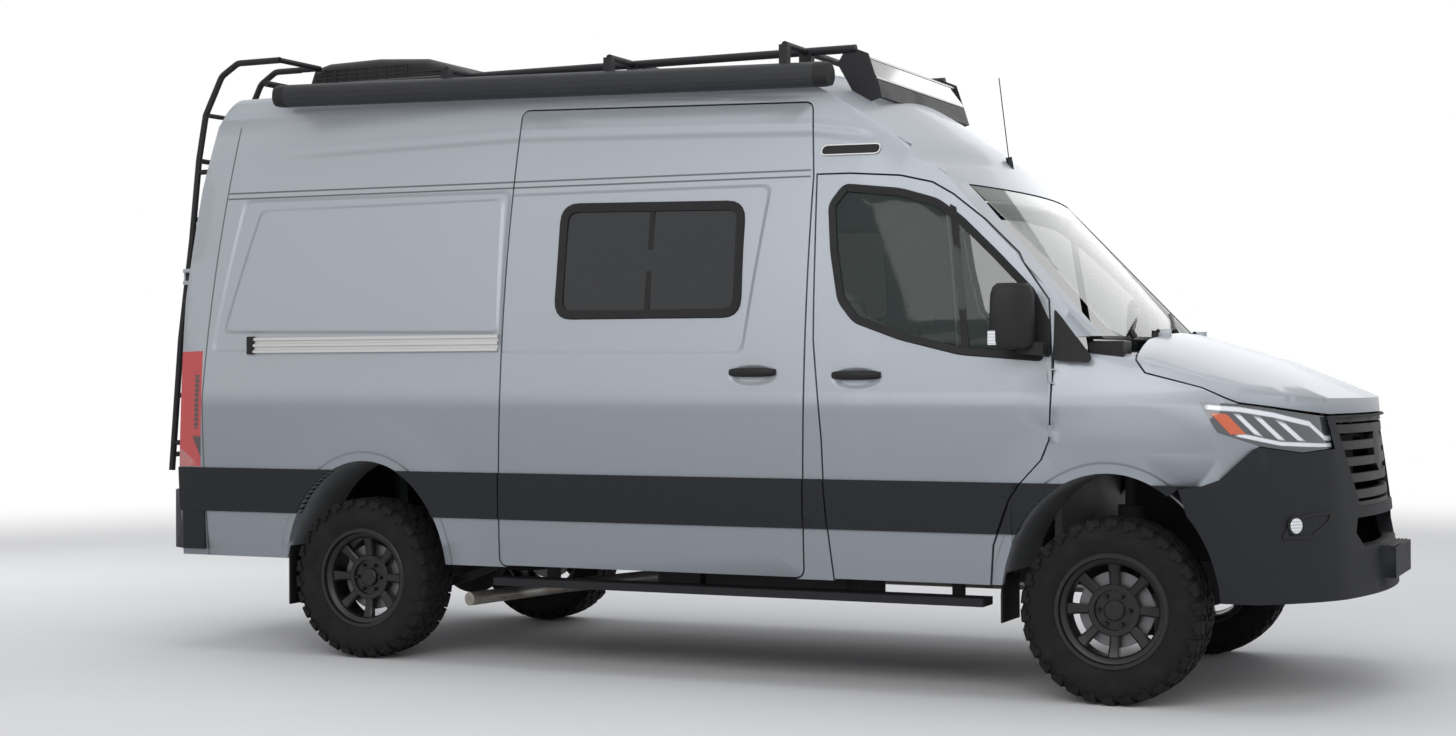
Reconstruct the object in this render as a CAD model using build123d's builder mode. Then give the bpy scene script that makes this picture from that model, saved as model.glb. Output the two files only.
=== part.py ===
"""A high-roof four-wheel camper van, built as separate pieces of body, doors, running gear and roof kit.

Millimetres. +X is forward, +Y is the driver's left, +Z is up, and z = 0 is the ground.
Every outline is measured from the rear axle and the ground, and REAR_AXLE_X places the rear axle
so that the origin lies under the middle of the whole vehicle.
"""
import os
from math import cos, radians, sin, sqrt

from build123d import *

os.makedirs("parts", exist_ok=True)

# Reach of the whole vehicle, measured from the rear axle
NOSE_REACH = 4690
LADDER_REACH = 1300
REAR_AXLE_X = (LADDER_REACH - NOSE_REACH) / 2

# Running gear
WHEELBASE = 3665
TRACK = 1712
TYRE_RADIUS = 384
TYRE_WIDTH = 245
RIM_RADIUS = 236
RIM_WIDTH = 205
HUB_RADIUS = 70
SPINDLE_RADIUS = 28
KINGPIN_Y = 762
KINGPIN_RADIUS = 16
RUNNING_FIT = 0.05
SEAT_GAP = 0.3

# Body shell
WIDEST_Z = 900
HALF_WIDTH = 1010
SIDE_RADIUS = 6756
SILL_Z = 470
SHOULDER_RADIUS = 170
WALL = 55
GAP = 8
GLASS_THICK = 6
GLASS_SET = 4
REAR_PIVOT_X = 2155
SCREEN_PIVOT_X = -500
CAP_PIVOT_X = 900
ROOF_SEAM_Z = 2625

# Wheel arches
ARCH_HALF = 458
ARCH_HEIGHT = 550
ARCH_Z = 400
REAR_ARCH_SHIFT = 45
HOUSE_THICK = 8

# Floor and frame
FLOOR_Z = 600
FLOOR_THICK = 40
RAIL_Y = 430
RAIL_WIDTH = 70
RAIL_HEIGHT = 120
RAIL_TOP_Z = FLOOR_Z - FLOOR_THICK
FRAME_BACK_X = -1130

# Doors
FRONT_HINGE_X = 3431
FRONT_HINGE_Y = 1003
FRONT_HINGES = [(1095, 1145), (1320, 1370)]
FRONT_PIN_RADIUS = 2.5
FRONT_SLEEVE_RADIUS = 5
FRONT_LEAF_REACH = 14
BACK_HINGE_X = -1118
BACK_HINGE_Y = 880
# Back hinges: foot, top, the door's edge and the wall's face at that height
BACK_HINGES = [(810, 890, 850, -1080), (1820, 1900, 770, -1055)]
BACK_PIN_RADIUS = 7
BACK_SLEEVE_RADIUS = 12
BONNET_HINGE_X = 3722
BONNET_HINGE_Z = 1540
BONNET_HINGES_Y = [-350, 350]
BONNET_PIN_RADIUS = 4
SCUTTLE_Z = 1430
BONNET_SLEEVE_RADIUS = 7
BACK_DOOR_BOTTOM_Z = 600
BACK_DOOR_TOP_Z = 2545
BACK_DOOR_HALF = 866
BACK_DOOR_TOP_HALF = 668

# Nose
NOSE_BOTTOM_Z = 445
NOSE_FRONT_X = 4640
NOSE_TAPER = 5
BONNET_THICK = 40
BUMPER_PROUD = 14


def side_plane(y=0):
    """The side elevation: local x runs forward from the rear axle and local y is the height."""
    return Plane(origin=(REAR_AXLE_X, y, 0), x_dir=(1, 0, 0), z_dir=(0, -1, 0))


def cross_plane(x=0):
    """A cross-section x ahead of the rear axle: local x is Y and local y is the height."""
    return Plane(origin=(REAR_AXLE_X + x, 0, 0), x_dir=(0, 1, 0), z_dir=(1, 0, 0))


def level_plane(z=0):
    """A plan view at a height: local x runs forward from the rear axle and local y is Y."""
    return Plane(origin=(REAR_AXLE_X, 0, z), x_dir=(1, 0, 0), z_dir=(0, 0, 1))


def at(x, y, z):
    """A place given from the rear axle."""
    return (REAR_AXLE_X + x, y, z)


def skin_y(z, inset=0):
    """Half the body's width at a height, on the tall arc of its side."""
    radius = SIDE_RADIUS - inset
    return HALF_WIDTH - SIDE_RADIUS + sqrt(radius**2 - (z - WIDEST_Z) ** 2)


def save(part, name):
    """Label one finished piece and write it to its own file."""
    part.label = name
    export_step(part, f"parts/{name}.step")


def prism(points, grow=0, rounding=0, plane=None, length=1500, both=True):
    """A bar with one outline, its corners rounded and its sides moved out by a gap."""
    with BuildPart() as bar:
        with BuildSketch(plane or side_plane()) as sketch:
            with BuildLine():
                Polyline(*points, close=True)
            make_face()
            if rounding:
                fillet(sketch.vertices(), rounding)
            if grow:
                offset(amount=grow, kind=Kind.INTERSECTION)
        extrude(amount=length, both=both)
    return bar.part


def block(low, high):
    """A square block between two corners, both given from the rear axle."""
    with BuildPart() as body:
        with BuildSketch(level_plane(low[2])):
            with Locations(((low[0] + high[0]) / 2, (low[1] + high[1]) / 2)):
                Rectangle(high[0] - low[0], high[1] - low[1])
        extrude(amount=high[2] - low[2])
    return body.part


def piece(whole, keep=(), cut=()):
    """The stretch of a shell that lies inside every kept volume and outside every cut one."""
    with BuildPart() as result:
        add(whole)
        for volume in keep:
            add(volume, mode=Mode.INTERSECT)
        for volume in cut:
            add(volume, mode=Mode.SUBTRACT)
    return result.part


def joined(parts):
    """Several solids as one piece."""
    with BuildPart() as result:
        for part in parts:
            add(part)
    return result.part


def mirrored(part):
    """The same piece on the other side of the vehicle."""
    with BuildPart() as result:
        add(part)
        mirror(about=Plane.XZ, mode=Mode.REPLACE)
    return result.part


def tube(points, radius, bend):
    """A round tube along straight runs with bends."""
    with BuildPart() as pipe:
        with BuildLine() as path:
            if len(points) > 2:
                FilletPolyline(*points, radius=bend)
            else:
                Line(*points)
        start = path.wire().position_at(0)
        with BuildSketch(Plane(origin=start, z_dir=path.wire().tangent_at(0))):
            Circle(radius)
        sweep()
    return pipe.part


def rod(start, end, radius):
    """A straight round bar between two places."""
    return tube([start, end], radius, 0)


def upright(x, y, low_z, high_z, radius):
    """An upright round bar."""
    return rod(at(x, y, low_z), at(x, y, high_z), radius)


# The body's cross-sections: distance ahead of the rear axle, shoulder height, crown height
BODY_SECTIONS = [
    (-1400, 2645, 2792),
    (600, 2650, 2800),
    (3900, 2530, 2700),
]
# Middle lines of the windscreen, the roof's front cap and the back doors, each point as distance ahead of the
# rear axle and height
SCREEN_PROFILE = [(3725, 1500), (3069, 2190), (2460, 2830)]
CAP_PROFILE = [
    (3900, 1500), (3180, 2190), (2985, 2285), (2905, 2368), (2702, 2515), (2500, 2640), (2300, 2730), (2100, 2785),
    (1850, 2830),
]
REAR_PROFILE = [(-1195, 470), (-1212, 900), (-1196, 1740), (-1140, 2300), (-1080, 2620), (-960, 2830)]


def body_section(x, shoulder_z, crown_z, inset):
    """One closed cross-section of the body, from sill to crown."""
    bottom = SILL_Z + inset
    shoulder = shoulder_z - inset
    crown = crown_z - inset
    shoulder_y = skin_y(shoulder, inset)
    roof_y = shoulder_y - SHOULDER_RADIUS
    roof_z = crown - 26
    with BuildSketch(cross_plane(x)) as section:
        with BuildLine():
            for sign in (1, -1):
                sill = (sign * skin_y(bottom, inset), bottom)
                waist = (sign * skin_y(1700, inset), 1700)
                eaves = (sign * shoulder_y, shoulder)
                corner_y = shoulder_y - SHOULDER_RADIUS * 0.22
                corner = (sign * corner_y, shoulder + (roof_z - shoulder) * 0.68)
                edge = (sign * roof_y, roof_z)
                Line((0, bottom), sill)
                ThreePointArc(sill, waist, eaves)
                ThreePointArc(eaves, corner, edge)
            ThreePointArc((roof_y, roof_z), (0, crown), (-roof_y, roof_z))
        make_face()
    return section.sketch


def end_volume(profile, pivot_x, reach, inset):
    """The space inside one curved end of the body: its profile swept about an upright axis, and all behind it.

    The profile is drawn on the far side of the axis, so that the sweep's seam lies inside the block behind it.
    """
    slope = inset * (1 if reach > 0 else -1)
    points = [(2 * pivot_x - (x - slope), z) for x, z in profile]
    with BuildPart() as volume:
        with BuildSketch(side_plane()):
            with BuildLine():
                Polyline((pivot_x, 0), (points[0][0], 0), *points, (pivot_x, points[-1][1]), close=True)
            make_face()
        revolve(axis=Axis(at(pivot_x, 0, 0), (0, 0, 1)))
        with BuildSketch(level_plane()):
            with Locations((pivot_x - reach / 2, 0)):
                Rectangle(abs(reach), 2 * HALF_WIDTH + 100)
        extrude(amount=points[-1][1])
    return volume.part


def cabin_volume(inset):
    """The closed box of the cab and load space, its faces moved in by an inset."""
    with BuildPart() as volume:
        for x, shoulder_z, crown_z in BODY_SECTIONS:
            add(body_section(x, shoulder_z, crown_z, inset))
        loft(ruled=True)
        add(end_volume(SCREEN_PROFILE, SCREEN_PIVOT_X, 3000, inset * 1.4), mode=Mode.INTERSECT)
        add(end_volume(CAP_PROFILE, CAP_PIVOT_X, 3000, inset * 1.4), mode=Mode.INTERSECT)
        add(end_volume(REAR_PROFILE, REAR_PIVOT_X, -4000, inset), mode=Mode.INTERSECT)
    return volume.part


# The nose's cross-sections: distance ahead of the rear axle, half width at the shoulder, shoulder height, crown
# height
NOSE_SECTIONS = [
    (3250, 962, 1470, 1600),
    (3800, 948, 1408, 1528),
    (4200, 930, 1292, 1408),
    (4480, 905, 1195, 1290),
    (4760, 880, 1090, 1160),
]
BELT_Z = 1030
BELT_IN = 6


def nose_section(x, shoulder_y, shoulder_z, crown_z, inset):
    """One closed cross-section of the nose, from its lower edge over the shoulders to the bonnet's crown."""
    bottom = NOSE_BOTTOM_Z + inset
    flank_y = HALF_WIDTH - inset
    belt_y = flank_y - BELT_IN
    edge_y = shoulder_y - inset
    edge_z = shoulder_z - inset
    turn_y = belt_y - 0.26 * (belt_y - edge_y)
    turn_z = BELT_Z + 0.66 * (edge_z - BELT_Z)
    with BuildSketch(cross_plane(x)) as section:
        with BuildLine():
            for sign in (1, -1):
                Line((0, bottom), (sign * (flank_y - 25), bottom))
                Line((sign * (flank_y - 25), bottom), (sign * flank_y, WIDEST_Z))
                Line((sign * flank_y, WIDEST_Z), (sign * belt_y, BELT_Z))
                ThreePointArc((sign * belt_y, BELT_Z), (sign * turn_y, turn_z), (sign * edge_y, edge_z))
            ThreePointArc((edge_y, edge_z), (0, crown_z - inset), (-edge_y, edge_z))
        make_face()
    return section.sketch


def nose_plan_volume(front_x, inset):
    """The space behind the nose's curved front, leaning back as it rises."""
    wide = HALF_WIDTH + 120 - inset
    x = front_x - inset
    with BuildPart() as volume:
        with BuildSketch(level_plane(NOSE_BOTTOM_Z - 5)):
            with BuildLine():
                Line((2800, -wide), (x - 760, -wide))
                ThreePointArc((x - 760, -wide), (x - 300, 222 - wide), (x - 105, inset - 640))
                ThreePointArc((x - 105, inset - 640), (x, 0), (x - 105, 640 - inset))
                ThreePointArc((x - 105, 640 - inset), (x - 300, wide - 222), (x - 760, wide))
                Line((x - 760, wide), (2800, wide))
                Line((2800, wide), (2800, -wide))
            make_face()
        extrude(amount=1300, taper=NOSE_TAPER)
    return volume.part


def nose_volume(inset, front_x=NOSE_FRONT_X):
    """The closed volume of the nose with its wings, its faces moved in by an inset."""
    with BuildPart() as volume:
        for x, shoulder_y, shoulder_z, crown_z in NOSE_SECTIONS:
            add(nose_section(x, shoulder_y, shoulder_z, crown_z, inset))
        loft(ruled=True)
        add(nose_plan_volume(front_x, inset), mode=Mode.INTERSECT)
    return volume.part


def arch_volume(axle_x, grow=0):
    """The opening of a pair of wheel arches, right across the vehicle."""
    with BuildPart() as volume:
        with BuildSketch(side_plane()):
            with Locations((axle_x, ARCH_Z)):
                Ellipse(ARCH_HALF + grow, ARCH_HEIGHT + grow)
            with Locations((axle_x, ARCH_Z / 2)):
                Rectangle(2 * (ARCH_HALF + grow), ARCH_Z)
        extrude(amount=1500, both=True)
    return volume.part


# Outlines seen from the side: distance ahead of the rear axle, height
FRONT_SHUT_LINE = [(3166, 478), (3179, 644), (3249, 834), (3301, 909), (3386, 1001), (3420, 1084), (3430, 1387)]
FRONT_DOOR = FRONT_SHUT_LINE + [
    (3412, 1660), (3266, 1860), (3118, 2008), (2975, 2118), (2880, 2172), (2733, 2207), (2500, 2226), (2349, 2228),
    (2360, 1941), (2371, 1505), (2417, 1074), (2426, 902), (2445, 687), (2470, 478),
]
FRONT_GLASS = [
    (2421, 2093), (2481, 2172), (2737, 2142), (2905, 2092), (3018, 2012), (3180, 1860), (3350, 1690), (3385, 1420),
    (3036, 1448), (2766, 1514), (2558, 1589), (2486, 1676), (2442, 1895),
]
SLIDING_DOOR = [(798, 478), (812, 2600), (2292, 2556), (2325, 2228), (2322, 478)]
SIDE_WINDOW = [(1090, 1622), (1090, 2138), (1995, 2118), (2001, 1618)]
ROOF_OUTLINE = [
    (-1500, 2566), (-1010, 2566), (-1010, ROOF_SEAM_Z), (2300, 2622), (2480, 2535), (2680, 2400), (2850, 2272),
    (2990, 2172), (3200, 2172), (3200, 2900), (-1500, 2900),
]
WINDSCREEN = [(3004, 2168), (3334, 1837), (3604, 1546), (3640, 1512), (3900, 1512), (3900, 1700), (3300, 2168)]
BONNET = [
    (3815, 1600), (3725, 1500), (3762, 1430), (3816, 1361), (4043, 1301), (4182, 1241), (4300, 1222), (4480, 1188),
    (4700, 1188), (4700, 1600),
]
WING_TOP = [(3440, 1500), (3720, 1495), (3756, 1425), (3811, 1355), (4040, 1296)]
LAMP = [(4036, 1241), (4182, 1232), (4300, 1213), (4470, 1178), (4500, 1050), (4400, 1036), (4259, 1064), (4112, 1119)]
BUMPER_SEAM = [(3958, 893), (4044, 903), (4123, 932), (4241, 1052)]
TAIL_LAMP = [(-1400, 909), (-925, 909), (-928, 1483), (-1400, 1469)]

outer = cabin_volume(0)
inner = cabin_volume(WALL)
glass_outer = cabin_volume(GLASS_SET)
glass_inner = cabin_volume(GLASS_SET + GLASS_THICK)


def panel(keep, cut=()):
    """A stretch of the body's wall, as thick as the whole wall."""
    return piece(outer, keep=keep, cut=[*cut, inner])


def pane(keep):
    """A stretch of glass set just inside the body's outer face."""
    return piece(glass_outer, keep=keep, cut=[glass_inner])


right_half = block((-3000, -2000, -100), (6000, 0, 4000))
left_half = block((-3000, 0, -100), (6000, 2000, 4000))
rear_arch = arch_volume(REAR_ARCH_SHIFT)
front_arch = arch_volume(WHEELBASE)
roof_zone = prism(ROOF_OUTLINE)

# Body sides: each a whole pressed panel from the back corner to the windscreen pillar
side_zone = prism(
    [(-1500, 400), *FRONT_SHUT_LINE, (3440, 1500), (3640, 1512), (3604, 1546), (3334, 1837), (3004, 2168),
     (2990, 2700), (-1500, 2700)]
)
middle_zone = prism(
    [(-890, 300), (-890, 1500), (-690, 2540), (-690, 2900), (690, 2900), (690, 2540), (890, 1500), (890, 300)],
    plane=cross_plane(-1500), length=6000, both=False,
)
tail_lamp_zone = prism(TAIL_LAMP)
side_cuts = [roof_zone, middle_zone, rear_arch, tail_lamp_zone, prism(FRONT_DOOR, grow=GAP)]
side_whole = panel(keep=[side_zone], cut=side_cuts)
side_left = piece(side_whole, keep=[left_half], cut=[prism(SIDE_WINDOW, rounding=80)])
side_right = piece(side_whole, keep=[right_half], cut=[prism(SLIDING_DOOR, grow=GAP, rounding=35)])


def back_hinge_posts(sign):
    """The fixed halves of one side's back hinges, with their pins."""
    posts = []
    for low_z, high_z, edge_y, wall_x in BACK_HINGES:
        posts.append(upright(BACK_HINGE_X, sign * BACK_HINGE_Y, low_z, high_z, BACK_PIN_RADIUS))
        for low, high in ((low_z, low_z + 19), (high_z - 19, high_z)):
            low_y, high_y = sorted((sign * BACK_HINGE_Y, sign * (BACK_HINGE_Y + 25)))
            posts.append(upright(BACK_HINGE_X, sign * BACK_HINGE_Y, low, high, BACK_SLEEVE_RADIUS))
            posts.append(block((BACK_HINGE_X, low_y, low), (wall_x, high_y, high)))
    return posts


side_left = joined([side_left, *back_hinge_posts(1)])
side_right = joined([side_right, *back_hinge_posts(-1)])
save(side_left, "side_left")
save(side_right, "side_right")

# Roof: one high crown with its front cap above the windscreen
roof = panel(keep=[roof_zone])
save(roof, "roof")

# Doors
sliding_door = panel(
    keep=[prism(SLIDING_DOOR, rounding=35), right_half],
    cut=[prism(SIDE_WINDOW, rounding=80), middle_zone],
)
save(sliding_door, "sliding_door")
front_door = panel(keep=[prism(FRONT_DOOR), right_half], cut=[prism(FRONT_GLASS, rounding=20), middle_zone])
front_leaves = []
front_bores = []
front_rooms = []
leaf_back_x = FRONT_HINGE_X - FRONT_LEAF_REACH
for low_z, high_z in FRONT_HINGES:
    low, high = low_z + 1, high_z - 1
    front_rooms.append(upright(FRONT_HINGE_X, -FRONT_HINGE_Y, low_z - 8, high_z + 8, FRONT_SLEEVE_RADIUS + 2))
    front_bores.append(upright(FRONT_HINGE_X, -FRONT_HINGE_Y, low_z, high_z, FRONT_PIN_RADIUS + RUNNING_FIT))
    front_leaves.append(upright(FRONT_HINGE_X, -FRONT_HINGE_Y, low, high, FRONT_SLEEVE_RADIUS))
    for front_x, inner_y in ((FRONT_HINGE_X, FRONT_HINGE_Y - 4), (FRONT_HINGE_X - FRONT_SLEEVE_RADIUS, FRONT_HINGE_Y - 16)):
        front_leaves.append(block((leaf_back_x, -FRONT_HINGE_Y - 4, low), (front_x, -inner_y, high)))
front_door = piece(joined([piece(front_door, cut=front_rooms), *front_leaves]), cut=front_bores)
save(front_door, "front_door_right")
save(mirrored(front_door), "front_door_left")

half_gap = GAP / 2
BACK_DOOR = [
    (-half_gap, BACK_DOOR_BOTTOM_Z), (-BACK_DOOR_HALF, BACK_DOOR_BOTTOM_Z), (-BACK_DOOR_HALF, 1450),
    (-BACK_DOOR_TOP_HALF, BACK_DOOR_TOP_Z), (-half_gap, BACK_DOOR_TOP_Z),
]
BACK_WINDOW = [(-110, 1600), (-760, 1600), (-655, 2250), (-110, 2250)]
back_plane = cross_plane(-1500)
back_door = panel(
    keep=[prism(BACK_DOOR, plane=back_plane, length=620, both=False)],
    cut=[prism(BACK_WINDOW, rounding=60, plane=back_plane, length=700, both=False)],
)
HINGE_END = 20
back_leaves = []
back_bores = []
for low_z, high_z, edge_y, wall_x in BACK_HINGES:
    low, high = low_z + HINGE_END, high_z - HINGE_END
    back_bores.append(upright(BACK_HINGE_X, -BACK_HINGE_Y, low_z, high_z, BACK_PIN_RADIUS + RUNNING_FIT))
    back_leaves.append(upright(BACK_HINGE_X, -BACK_HINGE_Y, low, high, BACK_SLEEVE_RADIUS))
    back_leaves.append(block((BACK_HINGE_X - 8, -BACK_HINGE_Y, low), (BACK_HINGE_X + 8, -edge_y, high)))
    back_leaves.append(block((BACK_HINGE_X - 8, -edge_y, low), (wall_x - 15, -edge_y + 30, high)))
back_door = piece(joined([back_door, *back_leaves]), cut=back_bores)
save(back_door, "back_door_right")
save(mirrored(back_door), "back_door_left")

# Glass
windscreen = pane(keep=[prism(WINDSCREEN, grow=-SEAT_GAP)])
save(windscreen, "windscreen")
side_window = pane(keep=[prism(SIDE_WINDOW, grow=-SEAT_GAP, rounding=80)])
save(side_window, "side_windows")
front_glass = pane(keep=[prism(FRONT_GLASS, grow=-SEAT_GAP, rounding=20), right_half])
save(front_glass, "front_glass_right")
save(mirrored(front_glass), "front_glass_left")
back_glass = pane(
    keep=[prism(BACK_WINDOW, grow=-SEAT_GAP, rounding=60, plane=back_plane, length=700, both=False)],
)
save(back_glass, "back_glass_right")
save(mirrored(back_glass), "back_glass_left")

# Nose
nose = nose_volume(0)
nose_shell = piece(nose, cut=[nose_volume(BONNET_THICK)])
WING = [(x + GAP, z) for x, z in FRONT_SHUT_LINE] + WING_TOP + [
    (4178, 1235), (4262, 1100), (4259, 1064), *reversed(BUMPER_SEAM), (3665, 700), (3300, 440),
]
front_middle = block((3000, -870, 0), (4460, 870, 1700))
lamp_middle = block((4000, -606, 0), (4800, 606, 1700))
bonnet = piece(nose_shell, keep=[prism(BONNET)], cut=[cabin_volume(-GAP)])
COWL_TOP_Z = 1512 - SEAT_GAP
cowl_zone = block((3560, -900, SCUTTLE_Z), (3900, 900, COWL_TOP_Z))
cowl = piece(outer, keep=[cowl_zone], cut=[side_zone, prism(WING), inner])
bonnet_leaves = []
bonnet_bores = []
cowl_ears = []
for y in BONNET_HINGES_Y:
    for low, high, radius, shapes in (
        (-10, 10, BONNET_SLEEVE_RADIUS, bonnet_leaves),
        (-21, 21, BONNET_PIN_RADIUS + RUNNING_FIT, bonnet_bores),
        (-20, 20, BONNET_PIN_RADIUS, cowl_ears),
        (-20, -12, BONNET_SLEEVE_RADIUS, cowl_ears),
        (12, 20, BONNET_SLEEVE_RADIUS, cowl_ears),
    ):
        ends = [at(BONNET_HINGE_X, y + end_y, BONNET_HINGE_Z) for end_y in (low, high)]
        shapes.append(rod(*ends, radius))
    bonnet_leaves.append(block((BONNET_HINGE_X, y - 10, 1515), (3775, y + 10, BONNET_HINGE_Z + 5)))
    for low, high in ((-20, -12), (12, 20)):
        cowl_ears.append(block((3695, y + low, 1500), (BONNET_HINGE_X, y + high, BONNET_HINGE_Z)))
bonnet = piece(joined([bonnet, *bonnet_leaves]), cut=bonnet_bores)
save(bonnet, "bonnet")
cowl = joined([cowl, *cowl_ears])
save(cowl, "cowl")

wings = piece(nose_shell, keep=[prism(WING)], cut=[front_arch, prism(LAMP, grow=SEAT_GAP), front_middle])
wing_posts = []
wing_slots = []
for sign in (1, -1):
    y = sign * FRONT_HINGE_Y
    for low_z, high_z in FRONT_HINGES:
        wing_slots.append(upright(FRONT_HINGE_X, y, low_z, high_z, FRONT_SLEEVE_RADIUS + 0.7))
        wing_posts.append(upright(FRONT_HINGE_X, y, low_z - 6, high_z + 6, FRONT_PIN_RADIUS))
        low_y, high_y = sorted((y + sign * 3, y - sign * 30))
        for low, high in ((low_z - 6, low_z), (high_z, high_z + 6)):
            wing_posts.append(block((FRONT_HINGE_X + 1, low_y, low), (FRONT_HINGE_X + 15, high_y, high)))
wings = joined([piece(wings, cut=wing_slots), *wing_posts])
save(wings, "wings")
head_lamps = piece(nose_shell, keep=[prism(LAMP)], cut=[lamp_middle])
save(head_lamps, "head_lamps")

GRILLE_OPENING = [(-600, 1172), (-430, 800), (430, 800), (600, 1172)]
BUMPER = BUMPER_SEAM + [
    (4259, 1060), (4400, 1032), (4505, 1046), (4478, 1180), (4760, 1180), (4760, 440), (4100, 440),
]
LOWER_INTAKE = [(-500, 700), (-430, 640), (430, 640), (500, 700), (470, 760), (-470, 760)]
front_plane = cross_plane(4300)
bumper_shell = piece(nose_volume(-BUMPER_PROUD, NOSE_FRONT_X), cut=[nose_volume(BONNET_THICK)])
bumper_front = piece(
    bumper_shell,
    keep=[prism(BUMPER)],
    cut=[
        front_arch,
        prism(LAMP, grow=SEAT_GAP),
        block((4000, -800, 0), (4380, 800, 1250)),
        prism(GRILLE_OPENING, plane=front_plane, length=600, both=False),
        prism(LOWER_INTAKE, plane=front_plane, length=600, both=False),
    ],
)
STEP_BLOCK_HALF = 230
STEP_BLOCK_LOW_Z = 495
STEP_BLOCK_TOP_Z = 625
step_block = block((4600, -STEP_BLOCK_HALF, STEP_BLOCK_LOW_Z), (NOSE_REACH, STEP_BLOCK_HALF, STEP_BLOCK_TOP_Z))
bumper_front = joined([bumper_front, step_block])
save(bumper_front, "bumper_front")

GRILLE_SLATS = 5
GRILLE_MIDDLE_Z = 988
GRILLE_INSET = 2
GRILLE_BACK = 30
LOW_SLAT_Z = 852
SLAT_PITCH = 68
SLAT_HEIGHT = 36
BADGE_RADIUS = 104
BADGE_Z = 1040
grille_layer = piece(nose_volume(GRILLE_INSET), cut=[nose_volume(GRILLE_BACK)])
with BuildPart() as grille_bars:
    with BuildSketch(front_plane):
        with BuildLine():
            Polyline(*GRILLE_OPENING, close=True)
        make_face()
        offset(amount=-SEAT_GAP, kind=Kind.INTERSECTION)
        with BuildLine():
            Polyline(*[(y * 0.95, GRILLE_MIDDLE_Z + (z - GRILLE_MIDDLE_Z) * 0.89) for y, z in GRILLE_OPENING], close=True)
        make_face(mode=Mode.SUBTRACT)
        for index in range(GRILLE_SLATS):
            slat_z = LOW_SLAT_Z + index * SLAT_PITCH
            half = 418 + (slat_z - 800) * 0.44
            with Locations((0, slat_z)):
                Rectangle(2 * half, SLAT_HEIGHT)
        with Locations((0, BADGE_Z)):
            Circle(BADGE_RADIUS)
    extrude(amount=600)
grille = piece(grille_layer, keep=[grille_bars.part])
save(grille, "grille")

# Tail lamps wrap the back corners
tail_lamps = panel(keep=[tail_lamp_zone], cut=[middle_zone])
save(tail_lamps, "tail_lamps")

# Back bumper with its step
BACK_BUMPER_REACH = 1252
BACK_BUMPER_PLAN = [(-900, 1014), (-1030, 1014), (-1120, 962), (-1208, 800), (-BACK_BUMPER_REACH, 400)]
BACK_BUMPER_LINE = BACK_BUMPER_PLAN + [(x, -y) for x, y in reversed(BACK_BUMPER_PLAN)]
BACK_STEP_LOW_Z = 500
BACK_STEP_TOP_Z = BACK_DOOR_BOTTOM_Z - 6
BACK_CORNER_TOP_Z = 790
step_height = BACK_STEP_TOP_Z - BACK_STEP_LOW_Z
corner_height = BACK_CORNER_TOP_Z - BACK_STEP_TOP_Z
bumper_step = prism(BACK_BUMPER_LINE, plane=level_plane(BACK_STEP_LOW_Z), length=step_height, both=False)
bumper_corners = prism(BACK_BUMPER_LINE, plane=level_plane(BACK_STEP_TOP_Z), length=corner_height, both=False)
bumper_middle = block((-1500, -895, BACK_STEP_TOP_Z), (-800, 895, 900))
bumper_rear = piece(
    joined([bumper_step, piece(bumper_corners, cut=[bumper_middle])]),
    cut=[outer, block((-1500, -RAIL_Y - 60, 400), (FRAME_BACK_X + 100, RAIL_Y + 60, RAIL_TOP_Z))],
)
save(bumper_rear, "bumper_rear")

# Floor with firewall and wheel houses
FLOOR_HALF = 940
FLOOR_BACK_X = -1130
FIREWALL_X = 3300
FIREWALL_THICK = 30
FIREWALL_HALF = 860
SCUTTLE_THICK = 35
REAR_HOUSE_Y = 640
FRONT_HOUSE_Y = 500


def wheel_house(axle_x, inner_y, outer_y, sign):
    """One arched inner wing over a wheel, closed by its inner wall."""
    with BuildPart() as house:
        with BuildSketch(side_plane(sign * inner_y)):
            with Locations((axle_x, ARCH_Z)):
                Ellipse(ARCH_HALF + HOUSE_THICK, ARCH_HEIGHT + HOUSE_THICK)
            with Locations((axle_x, ARCH_Z - 400)):
                Rectangle(2 * ARCH_HALF + 200, 800, mode=Mode.SUBTRACT)
        extrude(amount=-sign * (outer_y - inner_y))
        with BuildSketch(side_plane(sign * (inner_y + HOUSE_THICK))):
            with Locations((axle_x, ARCH_Z)):
                Ellipse(ARCH_HALF, ARCH_HEIGHT)
        extrude(amount=-sign * (outer_y - inner_y), mode=Mode.SUBTRACT)
    return house.part


firewall_front_x = FIREWALL_X + FIREWALL_THICK
floor_board = block((FLOOR_BACK_X, -FLOOR_HALF, RAIL_TOP_Z), (firewall_front_x, FLOOR_HALF, FLOOR_Z))
firewall = block((FIREWALL_X, -FIREWALL_HALF, FLOOR_Z), (firewall_front_x, FIREWALL_HALF, SCUTTLE_Z))
houses = []
for sign in (1, -1):
    houses.append(wheel_house(REAR_ARCH_SHIFT, REAR_HOUSE_Y, HALF_WIDTH, sign))
    houses.append(wheel_house(WHEELBASE, FRONT_HOUSE_Y, HALF_WIDTH, sign))
side_arch_space = [
    piece(volume, cut=[block((-2000, -inner, -10), (6000, inner, 3000))])
    for volume, inner in ((rear_arch, REAR_HOUSE_Y), (front_arch, FRONT_HOUSE_Y))
]
sill_seat = block((900, -HALF_WIDTH, RAIL_TOP_Z), (2200, HALF_WIDTH, FLOOR_Z))
scuttle = block((FIREWALL_X, -840, SCUTTLE_Z - SCUTTLE_THICK), (WHEELBASE, 840, SCUTTLE_Z))
floor = piece(
    joined([floor_board, firewall, sill_seat, scuttle, *houses]),
    keep=[joined([inner, nose_volume(BONNET_THICK)])],
    cut=side_arch_space,
)
save(floor, "floor")

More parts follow.
